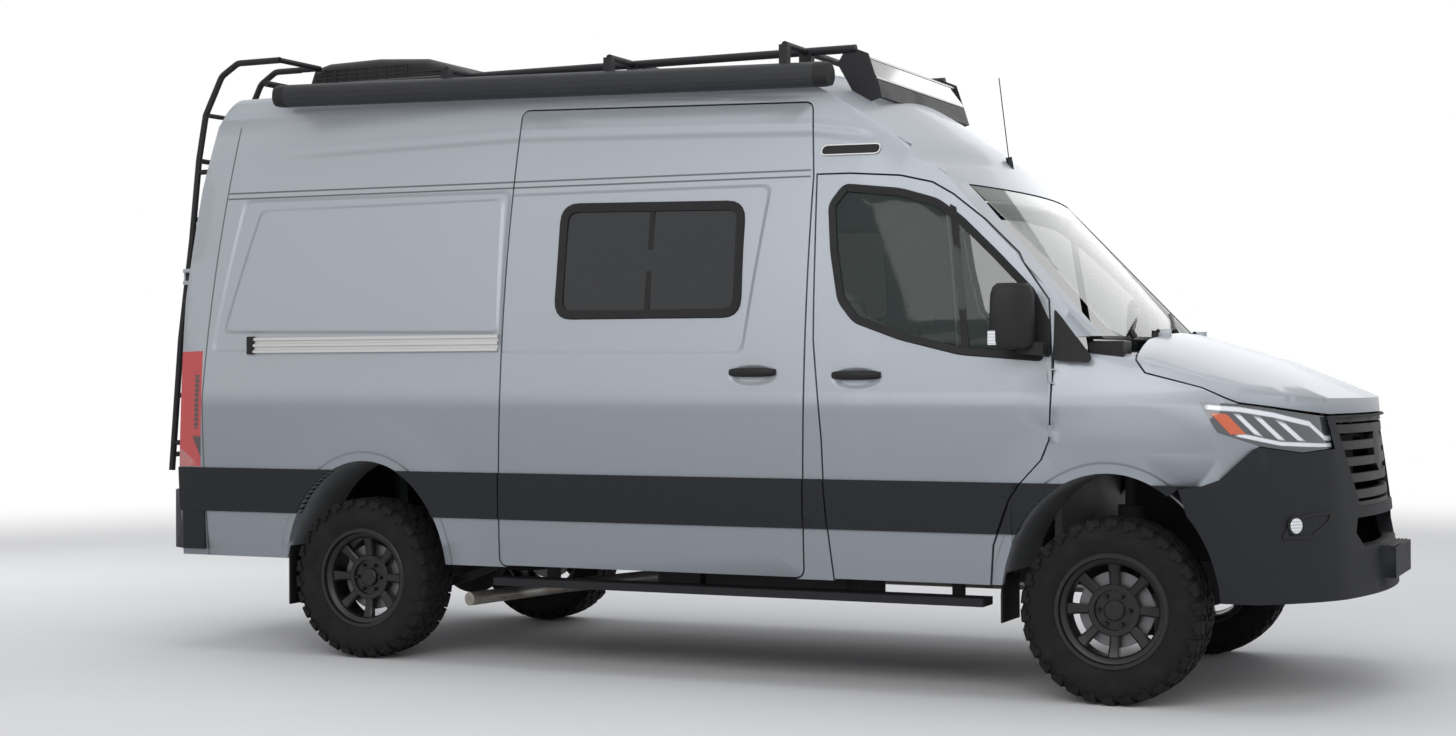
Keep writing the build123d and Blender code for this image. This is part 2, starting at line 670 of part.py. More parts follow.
# Frame rails with cross members
FRAME_FRONT_X = 4600
frame_parts = [
    block((FRAME_BACK_X, sign * RAIL_Y - RAIL_WIDTH / 2, RAIL_TOP_Z - RAIL_HEIGHT),
          (FRAME_FRONT_X, sign * RAIL_Y + RAIL_WIDTH / 2, RAIL_TOP_Z))
    for sign in (1, -1)
]
CROSS_MEMBERS_X = [FRAME_BACK_X + 40, 900, 1900, 2900, 4440]
ENGINE_Z = 470
for x in CROSS_MEMBERS_X:
    frame_parts.append(block((x - 40, -RAIL_Y, RAIL_TOP_Z - 100), (x + 40, RAIL_Y, RAIL_TOP_Z - 20)))
RADIATOR_HALF = 400
frame_parts.append(block((4370, -RADIATOR_HALF, RAIL_TOP_Z - 30), (4420, RADIATOR_HALF, 1080)))
frame_parts.append(block((3870, -RAIL_Y, RAIL_TOP_Z - RAIL_HEIGHT), (3950, RAIL_Y, ENGINE_Z)))
for sign in (1, -1):
    low_y, high_y = sorted((sign * (RAIL_Y - 35), sign * (RAIL_Y + 35)))
    frame_parts.append(block((WHEELBASE - 60, low_y, 380), (WHEELBASE + 60, high_y, RAIL_TOP_Z - RAIL_HEIGHT)))
behind_nose = block((-3000, -HALF_WIDTH, 0), (4300, HALF_WIDTH, 2000))
frame = piece(joined(frame_parts), keep=[joined([behind_nose, nose_volume(BONNET_THICK)])])
save(frame, "frame")

# Hitch receiver: a square tube with a hole across it for its pin, on a flange against the back cross member
HITCH_TUBE = 63.5
HITCH_BORE = 50.8
HITCH_Z = 470
HITCH_BACK_X = -1290
HITCH_FLANGE_X = FRAME_BACK_X - SEAT_GAP
HITCH_FLANGE_THICK = 12
HITCH_FLANGE_HALF = 85
HITCH_PIN_X = HITCH_BACK_X + 62
HITCH_PIN_RADIUS = 8.2
with BuildPart() as hitch_tube:
    with BuildSketch(cross_plane(HITCH_BACK_X)):
        with Locations((0, HITCH_Z)):
            Rectangle(HITCH_TUBE, HITCH_TUBE)
            Rectangle(HITCH_BORE, HITCH_BORE, mode=Mode.SUBTRACT)
    extrude(amount=HITCH_FLANGE_X - HITCH_FLANGE_THICK - HITCH_BACK_X)
hitch_flange = block((HITCH_FLANGE_X - HITCH_FLANGE_THICK, -HITCH_FLANGE_HALF, HITCH_Z - HITCH_TUBE / 2 - 8),
                     (HITCH_FLANGE_X, HITCH_FLANGE_HALF, RAIL_TOP_Z - 20))
hitch_pin = rod(at(HITCH_PIN_X, -HITCH_TUBE, HITCH_Z), at(HITCH_PIN_X, HITCH_TUBE, HITCH_Z), HITCH_PIN_RADIUS)
save(piece(joined([hitch_tube.part, hitch_flange]), cut=[hitch_pin]), "hitch_receiver")

# Engine, one plain block on the front cross member
engine = block((3560, -260, ENGINE_Z), (4330, 260, 1120))
save(engine, "engine_block")


def wheel_plane(axle_x, sign, y):
    """A plane across a wheel's axis, its local z pointing outwards."""
    return Plane(origin=at(axle_x, sign * y, TYRE_RADIUS), x_dir=(1, 0, 0), z_dir=(0, sign, 0))


def ring(plane, outer_radius, inner_radius, depth):
    """A round ring or disc standing on a plane."""
    with BuildPart() as body:
        with BuildSketch(plane):
            Circle(outer_radius)
            if inner_radius:
                Circle(inner_radius, mode=Mode.SUBTRACT)
        extrude(amount=depth)
    return body.part


def revolved(plane_points, axle_x, sign):
    """A ring swept about a wheel's axis from points of radius and distance outwards from the middle plane."""
    centre_y = TRACK / 2
    with BuildPart() as body:
        with BuildSketch(Plane(origin=at(axle_x, 0, TYRE_RADIUS), x_dir=(0, 1, 0), z_dir=(1, 0, 0))):
            with BuildLine():
                Polyline(*[(sign * (centre_y + out), radius) for radius, out in plane_points], close=True)
            make_face()
        revolve(axis=Axis(at(axle_x, 0, TYRE_RADIUS), (0, 1, 0)))
    return body.part


BEAD_RADIUS = 222
BEAD_HALF = 94
SPOKES = 8
BOLTS = 6
BOLT_CIRCLE = 65
HUB_FACE = 40
DISC_RADIUS = 160
TYRE_SECTION = [
    (BEAD_RADIUS + SEAT_GAP, BEAD_HALF - 2), (RIM_RADIUS + 6, BEAD_HALF - 1), (262, 112), (300, TYRE_WIDTH / 2),
    (345, TYRE_WIDTH / 2 - 1), (371, 112), (TYRE_RADIUS, 92),
]
RIM_SECTION = [
    (BEAD_RADIUS, BEAD_HALF), (RIM_RADIUS, BEAD_HALF + 1), (RIM_RADIUS, RIM_WIDTH / 2), (BEAD_RADIUS - 8, RIM_WIDTH / 2),
    (BEAD_RADIUS - 14, BEAD_HALF - 20),
]


def tyre(axle_x, sign):
    """A plain round tyre out to the tips of its tread."""
    section = TYRE_SECTION + [(radius, -out) for radius, out in reversed(TYRE_SECTION)]
    return revolved(section, axle_x, sign)


def rim(axle_x, sign):
    """A wheel of eight spokes with its hub, bolts' face, bearing bore and brake disc."""
    section = RIM_SECTION + [(radius, -out) for radius, out in reversed(RIM_SECTION)]
    barrel = revolved(section, axle_x, sign)
    hub_y = TRACK / 2 - 30
    with BuildPart() as spider:
        with BuildSketch(wheel_plane(axle_x, sign, TRACK / 2 + HUB_FACE - 26)):
            Circle(HUB_RADIUS + 22)
            with PolarLocations(0, SPOKES, start_angle=22.5):
                with Locations((HUB_RADIUS + 72, 0)):
                    Rectangle(2 * 72, 34)
        extrude(amount=26)
        with BuildSketch(wheel_plane(axle_x, sign, hub_y)):
            Circle(HUB_RADIUS)
        extrude(amount=HUB_FACE + 30 + 34)
        with BuildSketch(wheel_plane(axle_x, sign, hub_y)):
            Circle(DISC_RADIUS)
        extrude(amount=24)
        with BuildSketch(wheel_plane(axle_x, sign, hub_y - 1)):
            Circle(SPINDLE_RADIUS + RUNNING_FIT)
        extrude(amount=70, mode=Mode.SUBTRACT)
    return joined([barrel, spider.part])


SIDES = [("right", -1), ("left", 1)]
for end, axle_x in (("front", WHEELBASE), ("rear", 0)):
    for side, sign in SIDES:
        save(tyre(axle_x, sign), f"tyre_{end}_{side}")
        save(rim(axle_x, sign), f"rim_{end}_{side}")

# Front axle: subframe, lower arms with their upright kingpins, and struts
ARM_Z = 235
KNUCKLE_LOW_Z = 285
KNUCKLE_TOP_Z = 480
KNUCKLE_HALF = 42
STRUT_Y = 610
# Strut: radius, foot, top
STRUT = [(26, 270, 560), (55, 540, 800), (26, 780, ARCH_Z + ARCH_HEIGHT)]
for side, sign in SIDES:
    carrier = block((WHEELBASE - KNUCKLE_HALF, sign * KINGPIN_Y - 38, KNUCKLE_LOW_Z),
                    (WHEELBASE + KNUCKLE_HALF, sign * KINGPIN_Y + 38, KNUCKLE_TOP_Z))
    spindle = ring(wheel_plane(WHEELBASE, sign, KINGPIN_Y), SPINDLE_RADIUS, 0, TRACK / 2 - 30 + 60 - KINGPIN_Y)
    bore = upright(WHEELBASE, sign * KINGPIN_Y, KNUCKLE_LOW_Z - 5, KNUCKLE_LOW_Z + 45, KINGPIN_RADIUS + RUNNING_FIT)
    save(piece(joined([carrier, spindle]), cut=[bore]), f"knuckle_{side}")
axle_parts = [block((WHEELBASE - 60, -400, 300), (WHEELBASE + 60, 400, 380))]
for sign in (1, -1):
    inner_y, outer_y = sorted((sign * 380, sign * (KINGPIN_Y + 30)))
    axle_parts.append(block((WHEELBASE - 40, inner_y, ARM_Z), (WHEELBASE + 40, outer_y, ARM_Z + 40)))
    low_y, high_y = sorted((sign * 360, sign * (RAIL_Y + 35)))
    axle_parts.append(block((WHEELBASE - 60, low_y, ARM_Z), (WHEELBASE + 60, high_y, 380)))
    for radius, low_z, high_z in STRUT:
        axle_parts.append(upright(WHEELBASE, sign * STRUT_Y, low_z, high_z, radius))
    axle_parts.append(upright(WHEELBASE, sign * KINGPIN_Y, ARM_Z + 20, KNUCKLE_LOW_Z + 40, KINGPIN_RADIUS))
front_axle = piece(joined(axle_parts), cut=[floor])
save(front_axle, "front_axle")

# Rear axle: a beam with its differential, on two leaf springs
AXLE_RADIUS = 55
REAR_SPINDLE_Y = 690
LEAF_Y = 560
LEAF_WIDTH = 70
LEAF_THICK = 36
LEAF_HALF = 650
LEAF_END_Z = 500
DIFFERENTIAL_RADIUS = 165
leaf_low_z = TYRE_RADIUS - AXLE_RADIUS - LEAF_THICK
leaf_end_top = LEAF_END_Z + LEAF_THICK * 0.6
with BuildPart() as rear_axle:
    with BuildSketch(wheel_plane(0, 1, -REAR_SPINDLE_Y)):
        Circle(AXLE_RADIUS)
    extrude(amount=2 * REAR_SPINDLE_Y)
    with BuildSketch(wheel_plane(0, 1, -(TRACK / 2 + 30))):
        Circle(SPINDLE_RADIUS)
    extrude(amount=TRACK + 60)
    with Locations(at(0, 60, TYRE_RADIUS)):
        Sphere(DIFFERENTIAL_RADIUS)
leaf_parts = [rear_axle.part]
for sign in (1, -1):
    with BuildPart() as leaf:
        with BuildSketch(side_plane(sign * LEAF_Y - LEAF_WIDTH / 2)):
            with BuildLine():
                ThreePointArc((-LEAF_HALF, LEAF_END_Z), (0, leaf_low_z), (LEAF_HALF, LEAF_END_Z))
                Line((LEAF_HALF, LEAF_END_Z), (LEAF_HALF, leaf_end_top))
                ThreePointArc((LEAF_HALF, leaf_end_top), (0, leaf_low_z + LEAF_THICK + 6), (-LEAF_HALF, leaf_end_top))
                Line((-LEAF_HALF, leaf_end_top), (-LEAF_HALF, LEAF_END_Z))
            make_face()
        extrude(amount=-LEAF_WIDTH)
    leaf_parts.append(leaf.part)
    for x in (-640, 640):
        low_y, high_y = sorted((sign * (LEAF_Y + LEAF_WIDTH / 2), sign * (RAIL_Y + RAIL_WIDTH / 2)))
        leaf_parts.append(block((x - 30, low_y, 490), (x + 30, high_y, 530)))
rear_axle_whole = piece(joined(leaf_parts), cut=[frame])
save(rear_axle_whole, "rear_axle")

# Tank and exhaust
TANK_THICK = 200
TANK_WIDTH = 300
tank_in = -RAIL_Y - RAIL_WIDTH / 2
fuel_tank = block((1500, tank_in - TANK_WIDTH, RAIL_TOP_Z - TANK_THICK), (2500, tank_in - SEAT_GAP, RAIL_TOP_Z - SEAT_GAP))
save(fuel_tank, "fuel_tank")
EXHAUST_RADIUS = 32
EXHAUST_BEND = 110
EXHAUST_ROUTE = [(3640, 235, 470), (3500, 255, 362), (1250, 260, 360), (820, -420, 330), (640, -560, 305), (560, -885, 300)]
exhaust = tube([at(*place) for place in EXHAUST_ROUTE], EXHAUST_RADIUS, EXHAUST_BEND)
hangers = [block((x - 8, 250, 360), (x + 8, 270, RAIL_TOP_Z - 100)) for x in (1900, 2900)]
save(piece(joined([exhaust, *hangers]), cut=[engine]), "exhaust")

# Running boards on brackets from the sills
STEP_IN = 880
STEP_OUT = 1012
STEP_Z = 385
STEP_THICK = 34
STEP_BACK_X = 770
STEP_FRONT_X = 3140
board_parts = []
for sign in (1, -1):
    low_y, high_y = sorted((sign * STEP_IN, sign * STEP_OUT))
    board_parts.append(block((STEP_BACK_X, low_y, STEP_Z), (STEP_FRONT_X, high_y, STEP_Z + STEP_THICK)))
    for x in (1000, 1750, 2450, 2980):
        arm_low, arm_high = sorted((sign * (STEP_IN - 60), sign * STEP_IN))
        board_parts.append(block((x - 20, arm_low, STEP_Z), (x + 20, arm_high, RAIL_TOP_Z - SEAT_GAP)))
running_boards = joined(board_parts)
save(running_boards, "running_boards")

# Mud flaps behind every wheel
FLAP_THICK = 8
FRONT_FLAP_X = 3208
# Mud flap: back face ahead of the rear axle, foot, top before the arch trims it
FLAPS = [(-408, 245, 700), (FRONT_FLAP_X, 320, 700)]
flap_parts = []
for sign in (1, -1):
    low_y, high_y = sorted((sign * 745, sign * 985))
    for x, low_z, high_z in FLAPS:
        flap_parts.append(block((x, low_y, low_z), (x + FLAP_THICK, high_y, high_z)))
    low_y, high_y = sorted((sign * 800, sign * (FLOOR_HALF - 30)))
    flap_parts.append(block((FRONT_FLAP_X - 14, low_y, 450), (FRONT_FLAP_X, high_y, RAIL_TOP_Z - SEAT_GAP)))
bracket_zone = block((3000, -HALF_WIDTH, 300), (FRONT_FLAP_X, HALF_WIDTH, RAIL_TOP_Z))
flap_zone = joined([rear_arch, front_arch, bracket_zone])
mud_flaps = piece(joined(flap_parts), keep=[flap_zone])
save(mud_flaps, "mud_flaps")

# Mirrors on the front doors
with BuildPart() as mirror_head:
    with BuildSketch(level_plane(1458)):
        with BuildLine():
            Polyline((3215, -1036), (3215, -1172), (3300, -1168), (3385, -1110), (3385, -1036), close=True)
        make_face()
    extrude(amount=270)
mirror_arm = block((3330, -1060, 1440), (3400, -skin_y(1450) + 20, 1480))
mirror_right = piece(joined([mirror_head.part, mirror_arm]), cut=[cabin_volume(-SEAT_GAP)])
save(mirror_right, "mirror_right")
save(mirrored(mirror_right), "mirror_left")

# Seats and dashboard
SEAT_Y = 450
SEAT_HALF = 250
SEAT_SIDE = [
    (2430, FLOOR_Z + SEAT_GAP), (2900, FLOOR_Z + SEAT_GAP), (2900, 900), (2980, 930), (2980, 1040), (2520, 1010),
    (2380, 1560), (2370, 1700), (2270, 1700), (2280, 1540), (2400, 920),
]
DASH_HALF = 840
DASH_SIDE = [
    (FIREWALL_X - SEAT_GAP, 900), (FIREWALL_X - SEAT_GAP, 1400), (3240, 1430), (3020, 1330), (2990, 1200), (3100, 950),
]
seat_parts = []
for sign in (1, -1):
    with BuildPart() as seat:
        with BuildSketch(side_plane(sign * SEAT_Y - SEAT_HALF)):
            with BuildLine():
                Polyline(*SEAT_SIDE, close=True)
            make_face()
        extrude(amount=-2 * SEAT_HALF)
    seat_parts.append(seat.part)
seats = joined(seat_parts)
save(seats, "seats")
with BuildPart() as dashboard:
    with BuildSketch(side_plane(-DASH_HALF)):
        with BuildLine():
            Polyline(*DASH_SIDE, close=True)
        make_face()
    extrude(amount=-2 * DASH_HALF)
WHEEL_CENTRE = (2890, SEAT_Y, 1270)
WHEEL_RIM_RADIUS = 190
WHEEL_RIM_WIDTH = 25
COLUMN_RADIUS = 32
COLUMN_LENGTH = 180
COLUMN_SLOPE = 28
column_dir = (cos(radians(COLUMN_SLOPE)), 0, -sin(radians(COLUMN_SLOPE)))
with BuildPart() as steering:
    with BuildSketch(Plane(origin=at(*WHEEL_CENTRE), z_dir=column_dir)):
        Circle(WHEEL_RIM_RADIUS)
        Circle(WHEEL_RIM_RADIUS - WHEEL_RIM_WIDTH, mode=Mode.SUBTRACT)
        Rectangle(60, 2 * WHEEL_RIM_RADIUS - WHEEL_RIM_WIDTH - 10)
    extrude(amount=26)
column_end = [start + COLUMN_LENGTH * way for start, way in zip(WHEEL_CENTRE, column_dir)]
column = rod(at(*WHEEL_CENTRE), at(*column_end), COLUMN_RADIUS)
save(joined([dashboard.part, steering.part, column]), "dashboard")

# Roof rack: side rails on feet, with cross bars
RACK_Y = 600
AWNING_Y = -850
RACK_Z = 2815
RACK_BACK_X = -700
RACK_FRONT_X = 2420
RACK_RADIUS = 19
CROSS_BARS_X = [-640, 420, 1300, 2180]
rack_parts = [
    rod(at(RACK_BACK_X, y, RACK_Z), at(RACK_FRONT_X, y, RACK_Z), RACK_RADIUS) for y in (RACK_Y, -RACK_Y)
]
for x in CROSS_BARS_X:
    rack_parts.append(rod(at(x, AWNING_Y, RACK_Z), at(x, RACK_Y, RACK_Z), RACK_RADIUS - 3))
    for sign in (1, -1):
        rack_parts.append(block((x - 30, sign * RACK_Y - 20, RACK_Z - 120), (x + 30, sign * RACK_Y + 20, RACK_Z)))
AWNING_RADIUS = 62
AWNING_BACK = (-565, 2748)
AWNING_FRONT = (2400, 2674)
for x in CROSS_BARS_X[1:]:
    rack_parts.append(block((x - 20, AWNING_Y - 20, AWNING_FRONT[1]), (x + 20, AWNING_Y + 20, RACK_Z)))
PANEL_HALF = 600
PLATE_THICK = 6
PANEL_PLATE = [(2332, 2751), (2380, 2830), (2420, 2815), (2480, 2790), (2546, 2590), (2442, 2560)]
PANEL_FAIRING = [(2522, 2672), (2546, 2590), (2534, 2586), (2510, 2668)]
for sign in (1, -1):
    rack_parts.append(prism(PANEL_PLATE, plane=side_plane(sign * (PANEL_HALF + PLATE_THICK / 2) + PLATE_THICK / 2),
                            length=PLATE_THICK, both=False))
rack_parts.append(prism(PANEL_FAIRING, plane=side_plane(-PANEL_HALF), length=-2 * PANEL_HALF, both=False))
rack = piece(joined(rack_parts), cut=[outer])
save(rack, "roof_rack")

# Awning cassette along the right edge of the roof
awning = rod(*[at(x, AWNING_Y, z) for x, z in (AWNING_BACK, AWNING_FRONT)], AWNING_RADIUS)
save(piece(awning, cut=[rack]), "awning")

# Air-conditioner on the back of the roof
COOLER_HALF = 350
COOLER_SIDE = [
    (-785, 2780), (-785, 2850), (-720, 2975), (-330, 2992), (-10, 2975), (190, 2900), (340, 2840), (350, 2780),
]
with BuildPart() as cooler:
    with BuildSketch(side_plane(-COOLER_HALF)):
        with BuildLine():
            Polyline(*COOLER_SIDE, close=True)
        make_face()
    extrude(amount=-2 * COOLER_HALF)
save(piece(cooler.part, cut=[cabin_volume(-SEAT_GAP), rack]), "air_conditioner")

# Solar panel on its end plates across the front of the roof
PANEL_TOP = (2468, 2779)
PANEL_LOW = (2520, 2678)
PANEL_BACK = (22, 11)
with BuildPart() as solar:
    with BuildSketch(side_plane(-PANEL_HALF)):
        with BuildLine():
            Polyline(PANEL_TOP, PANEL_LOW, *[(x - PANEL_BACK[0], z - PANEL_BACK[1]) for x, z in (PANEL_LOW, PANEL_TOP)], close=True)
        make_face()
    extrude(amount=-2 * PANEL_HALF)
save(solar.part, "solar_panel")

# Ladder on the right back door: both rails as distance ahead of the rear axle, Y, height
LADDER_TUBE = 16
RUNG_RADIUS = 13
NEAR_RAIL = [
    (-1228, -860, 880), (-1187, -838, 1542), (-1153, -790, 2054), (-1131, -760, 2464), (-1103, -740, 2694),
    (-1016, -720, 2890), (-914, -720, 2950), (-651, -720, 2950),
]
FAR_RAIL = [
    (-1284, -500, 880), (-1250, -478, 1542), (-1205, -430, 2054), (-1165, -400, 2464), (-1120, -390, 2700),
    (-1030, -380, 2890), (-935, -380, 2950), (-775, -380, 2950),
]
RUNG_HEIGHTS = [960, 1260, 1560, 1860, 2160, 2460]


def along(rail, z):
    """The place on a rail at a height."""
    for low, high in zip(rail, rail[1:]):
        if low[2] <= z <= high[2]:
            share = (z - low[2]) / (high[2] - low[2])
            return at(low[0] + share * (high[0] - low[0]), low[1] + share * (high[1] - low[1]), z)


ladder_parts = [tube([at(*point) for point in rail], LADDER_TUBE, 60) for rail in (NEAR_RAIL, FAR_RAIL)]
for z in RUNG_HEIGHTS:
    ladder_parts.append(rod(along(NEAR_RAIL, z), along(FAR_RAIL, z), RUNG_RADIUS))
for rail in (NEAR_RAIL, FAR_RAIL):
    for z in (1020, 2400):
        start = along(rail, z)
        ladder_parts.append(rod(start, (start[0] + 160, start[1], z), RUNG_RADIUS))
ladder = piece(joined(ladder_parts), cut=[cabin_volume(-SEAT_GAP)])
save(ladder, "ladder")
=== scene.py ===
"""The camper van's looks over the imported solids: paint, glass, trim, wheels, roof kit, lamps and inside.

Metres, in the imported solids' frame. spot() takes a place in millimetres from the rear axle and the ground,
the way the body was measured.
"""
import math

import bmesh
import bpy
from mathutils import Matrix, Vector
from mathutils.bvhtree import BVHTree


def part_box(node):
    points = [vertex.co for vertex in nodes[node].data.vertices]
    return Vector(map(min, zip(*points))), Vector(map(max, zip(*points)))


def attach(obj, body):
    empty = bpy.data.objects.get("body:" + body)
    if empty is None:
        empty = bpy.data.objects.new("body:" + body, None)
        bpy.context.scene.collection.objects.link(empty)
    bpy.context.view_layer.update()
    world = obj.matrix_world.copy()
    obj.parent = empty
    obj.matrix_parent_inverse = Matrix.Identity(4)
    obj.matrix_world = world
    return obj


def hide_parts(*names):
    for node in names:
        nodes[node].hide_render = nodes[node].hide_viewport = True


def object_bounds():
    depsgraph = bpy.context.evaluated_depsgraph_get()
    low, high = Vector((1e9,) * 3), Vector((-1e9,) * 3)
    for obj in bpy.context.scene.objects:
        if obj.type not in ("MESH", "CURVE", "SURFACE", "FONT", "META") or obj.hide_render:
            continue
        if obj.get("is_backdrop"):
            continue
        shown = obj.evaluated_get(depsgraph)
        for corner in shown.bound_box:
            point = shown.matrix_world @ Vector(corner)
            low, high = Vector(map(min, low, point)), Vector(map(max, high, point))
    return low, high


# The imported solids. The rear axle and the wheels give every other place.
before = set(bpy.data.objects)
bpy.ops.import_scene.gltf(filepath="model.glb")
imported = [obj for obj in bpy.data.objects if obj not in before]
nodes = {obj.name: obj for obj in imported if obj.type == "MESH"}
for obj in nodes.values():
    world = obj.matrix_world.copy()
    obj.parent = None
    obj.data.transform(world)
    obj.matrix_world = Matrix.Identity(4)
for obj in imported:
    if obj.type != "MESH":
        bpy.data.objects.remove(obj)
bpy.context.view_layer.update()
tyre_low, tyre_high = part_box("tyre_rear_right")
axle_x = (tyre_low.x + tyre_high.x) / 2
wheel_radius = (tyre_high.z - tyre_low.z) / 2
front_low, front_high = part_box("tyre_front_right")
wheelbase = (front_low.x + front_high.x) / 2 - axle_x
track_half = -(tyre_low.y + tyre_high.y) / 2
RIGHT, LEFT = -1, 1


def spot(x, y, z):
    """A place given in millimetres from the rear axle and the ground."""
    return Vector((axle_x + x / 1000, y / 1000, z / 1000))


# The camera stands level with the bonnet, ahead and to the right, on a lens near 52 mm.
CAMERA_SPOT = (5924.4, -9450.3, 1365.0)
CAMERA_YAW, CAMERA_PITCH, CAMERA_ROLL = 0.4379, 0.0022, -0.0038
FOCAL_SHARE = 2121.32 / 1456
camera = bpy.data.objects.new("camera", bpy.data.cameras.new("camera"))
bpy.context.scene.collection.objects.link(camera)
camera.data.lens = FOCAL_SHARE * camera.data.sensor_width
camera.data.clip_end = 200
ahead = Vector((
    -math.sin(CAMERA_YAW) * math.cos(CAMERA_PITCH), math.cos(CAMERA_YAW) * math.cos(CAMERA_PITCH),
    math.sin(CAMERA_PITCH),
))
level = Vector((math.cos(CAMERA_YAW), math.sin(CAMERA_YAW), 0))
upward = level.cross(ahead)
across = math.cos(CAMERA_ROLL) * level + math.sin(CAMERA_ROLL) * upward
upward = -math.sin(CAMERA_ROLL) * level + math.cos(CAMERA_ROLL) * upward
turned = Matrix((across, upward, -ahead)).transposed().to_4x4()
camera.matrix_world = Matrix.Translation(spot(*CAMERA_SPOT)) @ turned
bpy.context.scene.camera = camera


# Shader maths. A Tone is one value on its way through a material, and sums on it add the material's nodes.
class Tone:
    def __init__(self, tree, socket):
        self.tree = tree
        self.socket = socket

    def math(self, operation, *values):
        node = self.tree.nodes.new("ShaderNodeMath")
        node.operation = operation
        for index, value in enumerate(values):
            if isinstance(value, Tone):
                self.tree.links.new(value.socket, node.inputs[index])
            else:
                node.inputs[index].default_value = value
        return Tone(self.tree, node.outputs[0])

    def __add__(self, other):
        return self.math("ADD", self, other)

    def __radd__(self, other):
        return self.math("ADD", other, self)

    def __sub__(self, other):
        return self.math("SUBTRACT", self, other)

    def __rsub__(self, other):
        return self.math("SUBTRACT", other, self)

    def __mul__(self, other):
        return self.math("MULTIPLY", self, other)

    def __truediv__(self, other):
        return self.math("DIVIDE", self, other)

    def __pow__(self, other):
        return self.math("POWER", self, other)

    def __abs__(self):
        return self.math("ABSOLUTE", self)

    def sine(self):
        return self.math("SINE", self)

    def lower(self, other):
        return self.math("MINIMUM", self, other)

    def higher(self, other):
        return self.math("MAXIMUM", self, other)

    def rounded_higher(self, other, rounding):
        return self.math("SMOOTH_MAX", self, other, rounding)

    def ramp(self, start, end):
        """Nought at start, one at end, with a soft foot and top."""
        node = self.tree.nodes.new("ShaderNodeMapRange")
        node.interpolation_type = "SMOOTHSTEP"
        self.tree.links.new(self.socket, node.inputs["Value"])
        node.inputs["From Min"].default_value = min(start, end)
        node.inputs["From Max"].default_value = max(start, end)
        node.inputs["To Min"].default_value = 0 if start < end else 1
        node.inputs["To Max"].default_value = 1 if start < end else 0
        return Tone(self.tree, node.outputs[0])

    def ridge(self, centre, half_width):
        """One on the centre value, falling softly to nought on both sides."""
        return abs(self - centre).ramp(half_width, 0)


class Finish:
    """One material under way: its shader, its place coordinates and any node by type."""

    def __init__(self, name, colour, metallic=0.0, roughness=0.5, coat=0.0, alpha=1.0, specular=0.5):
        self.material = bpy.data.materials.new(name)
        self.material.use_nodes = True
        self.tree = self.material.node_tree
        self.shader = self.tree.nodes["Principled BSDF"]
        self.shader.inputs["Base Color"].default_value = (*colour, 1)
        self.shader.inputs["Metallic"].default_value = metallic
        self.shader.inputs["Roughness"].default_value = roughness
        self.shader.inputs["Coat Weight"].default_value = coat
        self.shader.inputs["Coat Roughness"].default_value = 0.06
        self.shader.inputs["Alpha"].default_value = alpha
        self.shader.inputs["Specular IOR Level"].default_value = specular
        coordinates = self.tree.nodes.new("ShaderNodeTexCoord")
        split = self.tree.nodes.new("ShaderNodeSeparateXYZ")
        self.place = coordinates.outputs["Object"]
        self.tree.links.new(self.place, split.inputs[0])
        self.x, self.y, self.z = (Tone(self.tree, split.outputs[index]) for index in range(3))

    def node(self, kind, settings=(), sockets=()):
        """Adds a node of any type, its settings first and then its sockets' values or links."""
        node = self.tree.nodes.new(kind)
        for name, value in dict(settings).items():
            setattr(node, name, value)
        for name, value in dict(sockets).items():
            if isinstance(value, Tone):
                self.tree.links.new(value.socket, node.inputs[name])
            elif isinstance(value, bpy.types.NodeSocket):
                self.tree.links.new(value, node.inputs[name])
            else:
                node.inputs[name].default_value = value
        return node

    def noise(self, scale, detail=2.0, roughness=0.5):
        """A soft random value over the piece's own place."""
        sockets = {"Vector": self.place, "Scale": scale, "Detail": detail, "Roughness": roughness}
        return Tone(self.tree, self.node("ShaderNodeTexNoise", {}, sockets).outputs["Fac"])

    def mix(self, amount, first, second):
        """A colour between two others."""
        sockets = {"Factor": amount}
        node = self.node("ShaderNodeMix", {"data_type": "RGBA"}, sockets)
        for index, value in ((6, first), (7, second)):
            if isinstance(value, bpy.types.NodeSocket):
                self.tree.links.new(value, node.inputs[index])
            else:
                node.inputs[index].default_value = (*value, 1)
        return node.outputs[2]

    def set(self, name, value):
        """Links a value or colour to one of the shader's sockets."""
        socket = value.socket if isinstance(value, Tone) else value
        self.tree.links.new(socket, self.shader.inputs[name])

    def bump(self, height, strength=1.0):
        """Raises the surface by a height in metres."""
        node = self.node("ShaderNodeBump", {}, {"Strength": strength, "Distance": 1.0, "Height": height})
        self.set("Normal", node.outputs["Normal"])


# The floor, a wide pale sheet, with the white room behind it and soft lamps over it.
FLOOR_REACH = 60
floor_mesh = bpy.data.meshes.new("studio_floor")
FLOOR_CORNERS = [(-1, -1), (1, -1), (1, 1), (-1, 1)]
floor_mesh.from_pydata([(x * FLOOR_REACH, y * FLOOR_REACH, 0) for x, y in FLOOR_CORNERS], [], [(0, 1, 2, 3)])
studio_floor = bpy.data.objects.new("studio_floor", floor_mesh)
bpy.context.scene.collection.objects.link(studio_floor)
floor_finish = Finish("studio_floor", (0.82, 0.82, 0.82), roughness=0.9, specular=0.1)
shade = floor_finish.noise(0.6).ramp(0.3, 0.7)
floor_finish.set("Base Color", floor_finish.mix(shade, (0.81, 0.81, 0.815), (0.83, 0.83, 0.825)))
reach = (floor_finish.x * floor_finish.x + floor_finish.y * floor_finish.y) ** 0.5
glow = floor_finish.node("ShaderNodeEmission", {}, {"Color": (1, 1, 1, 1), "Strength": 1.0})
fade = floor_finish.node("ShaderNodeMixShader", {}, {0: reach.ramp(6.0, 14.0)})
floor_finish.tree.links.new(floor_finish.shader.outputs[0], fade.inputs[1])
floor_finish.tree.links.new(glow.outputs[0], fade.inputs[2])
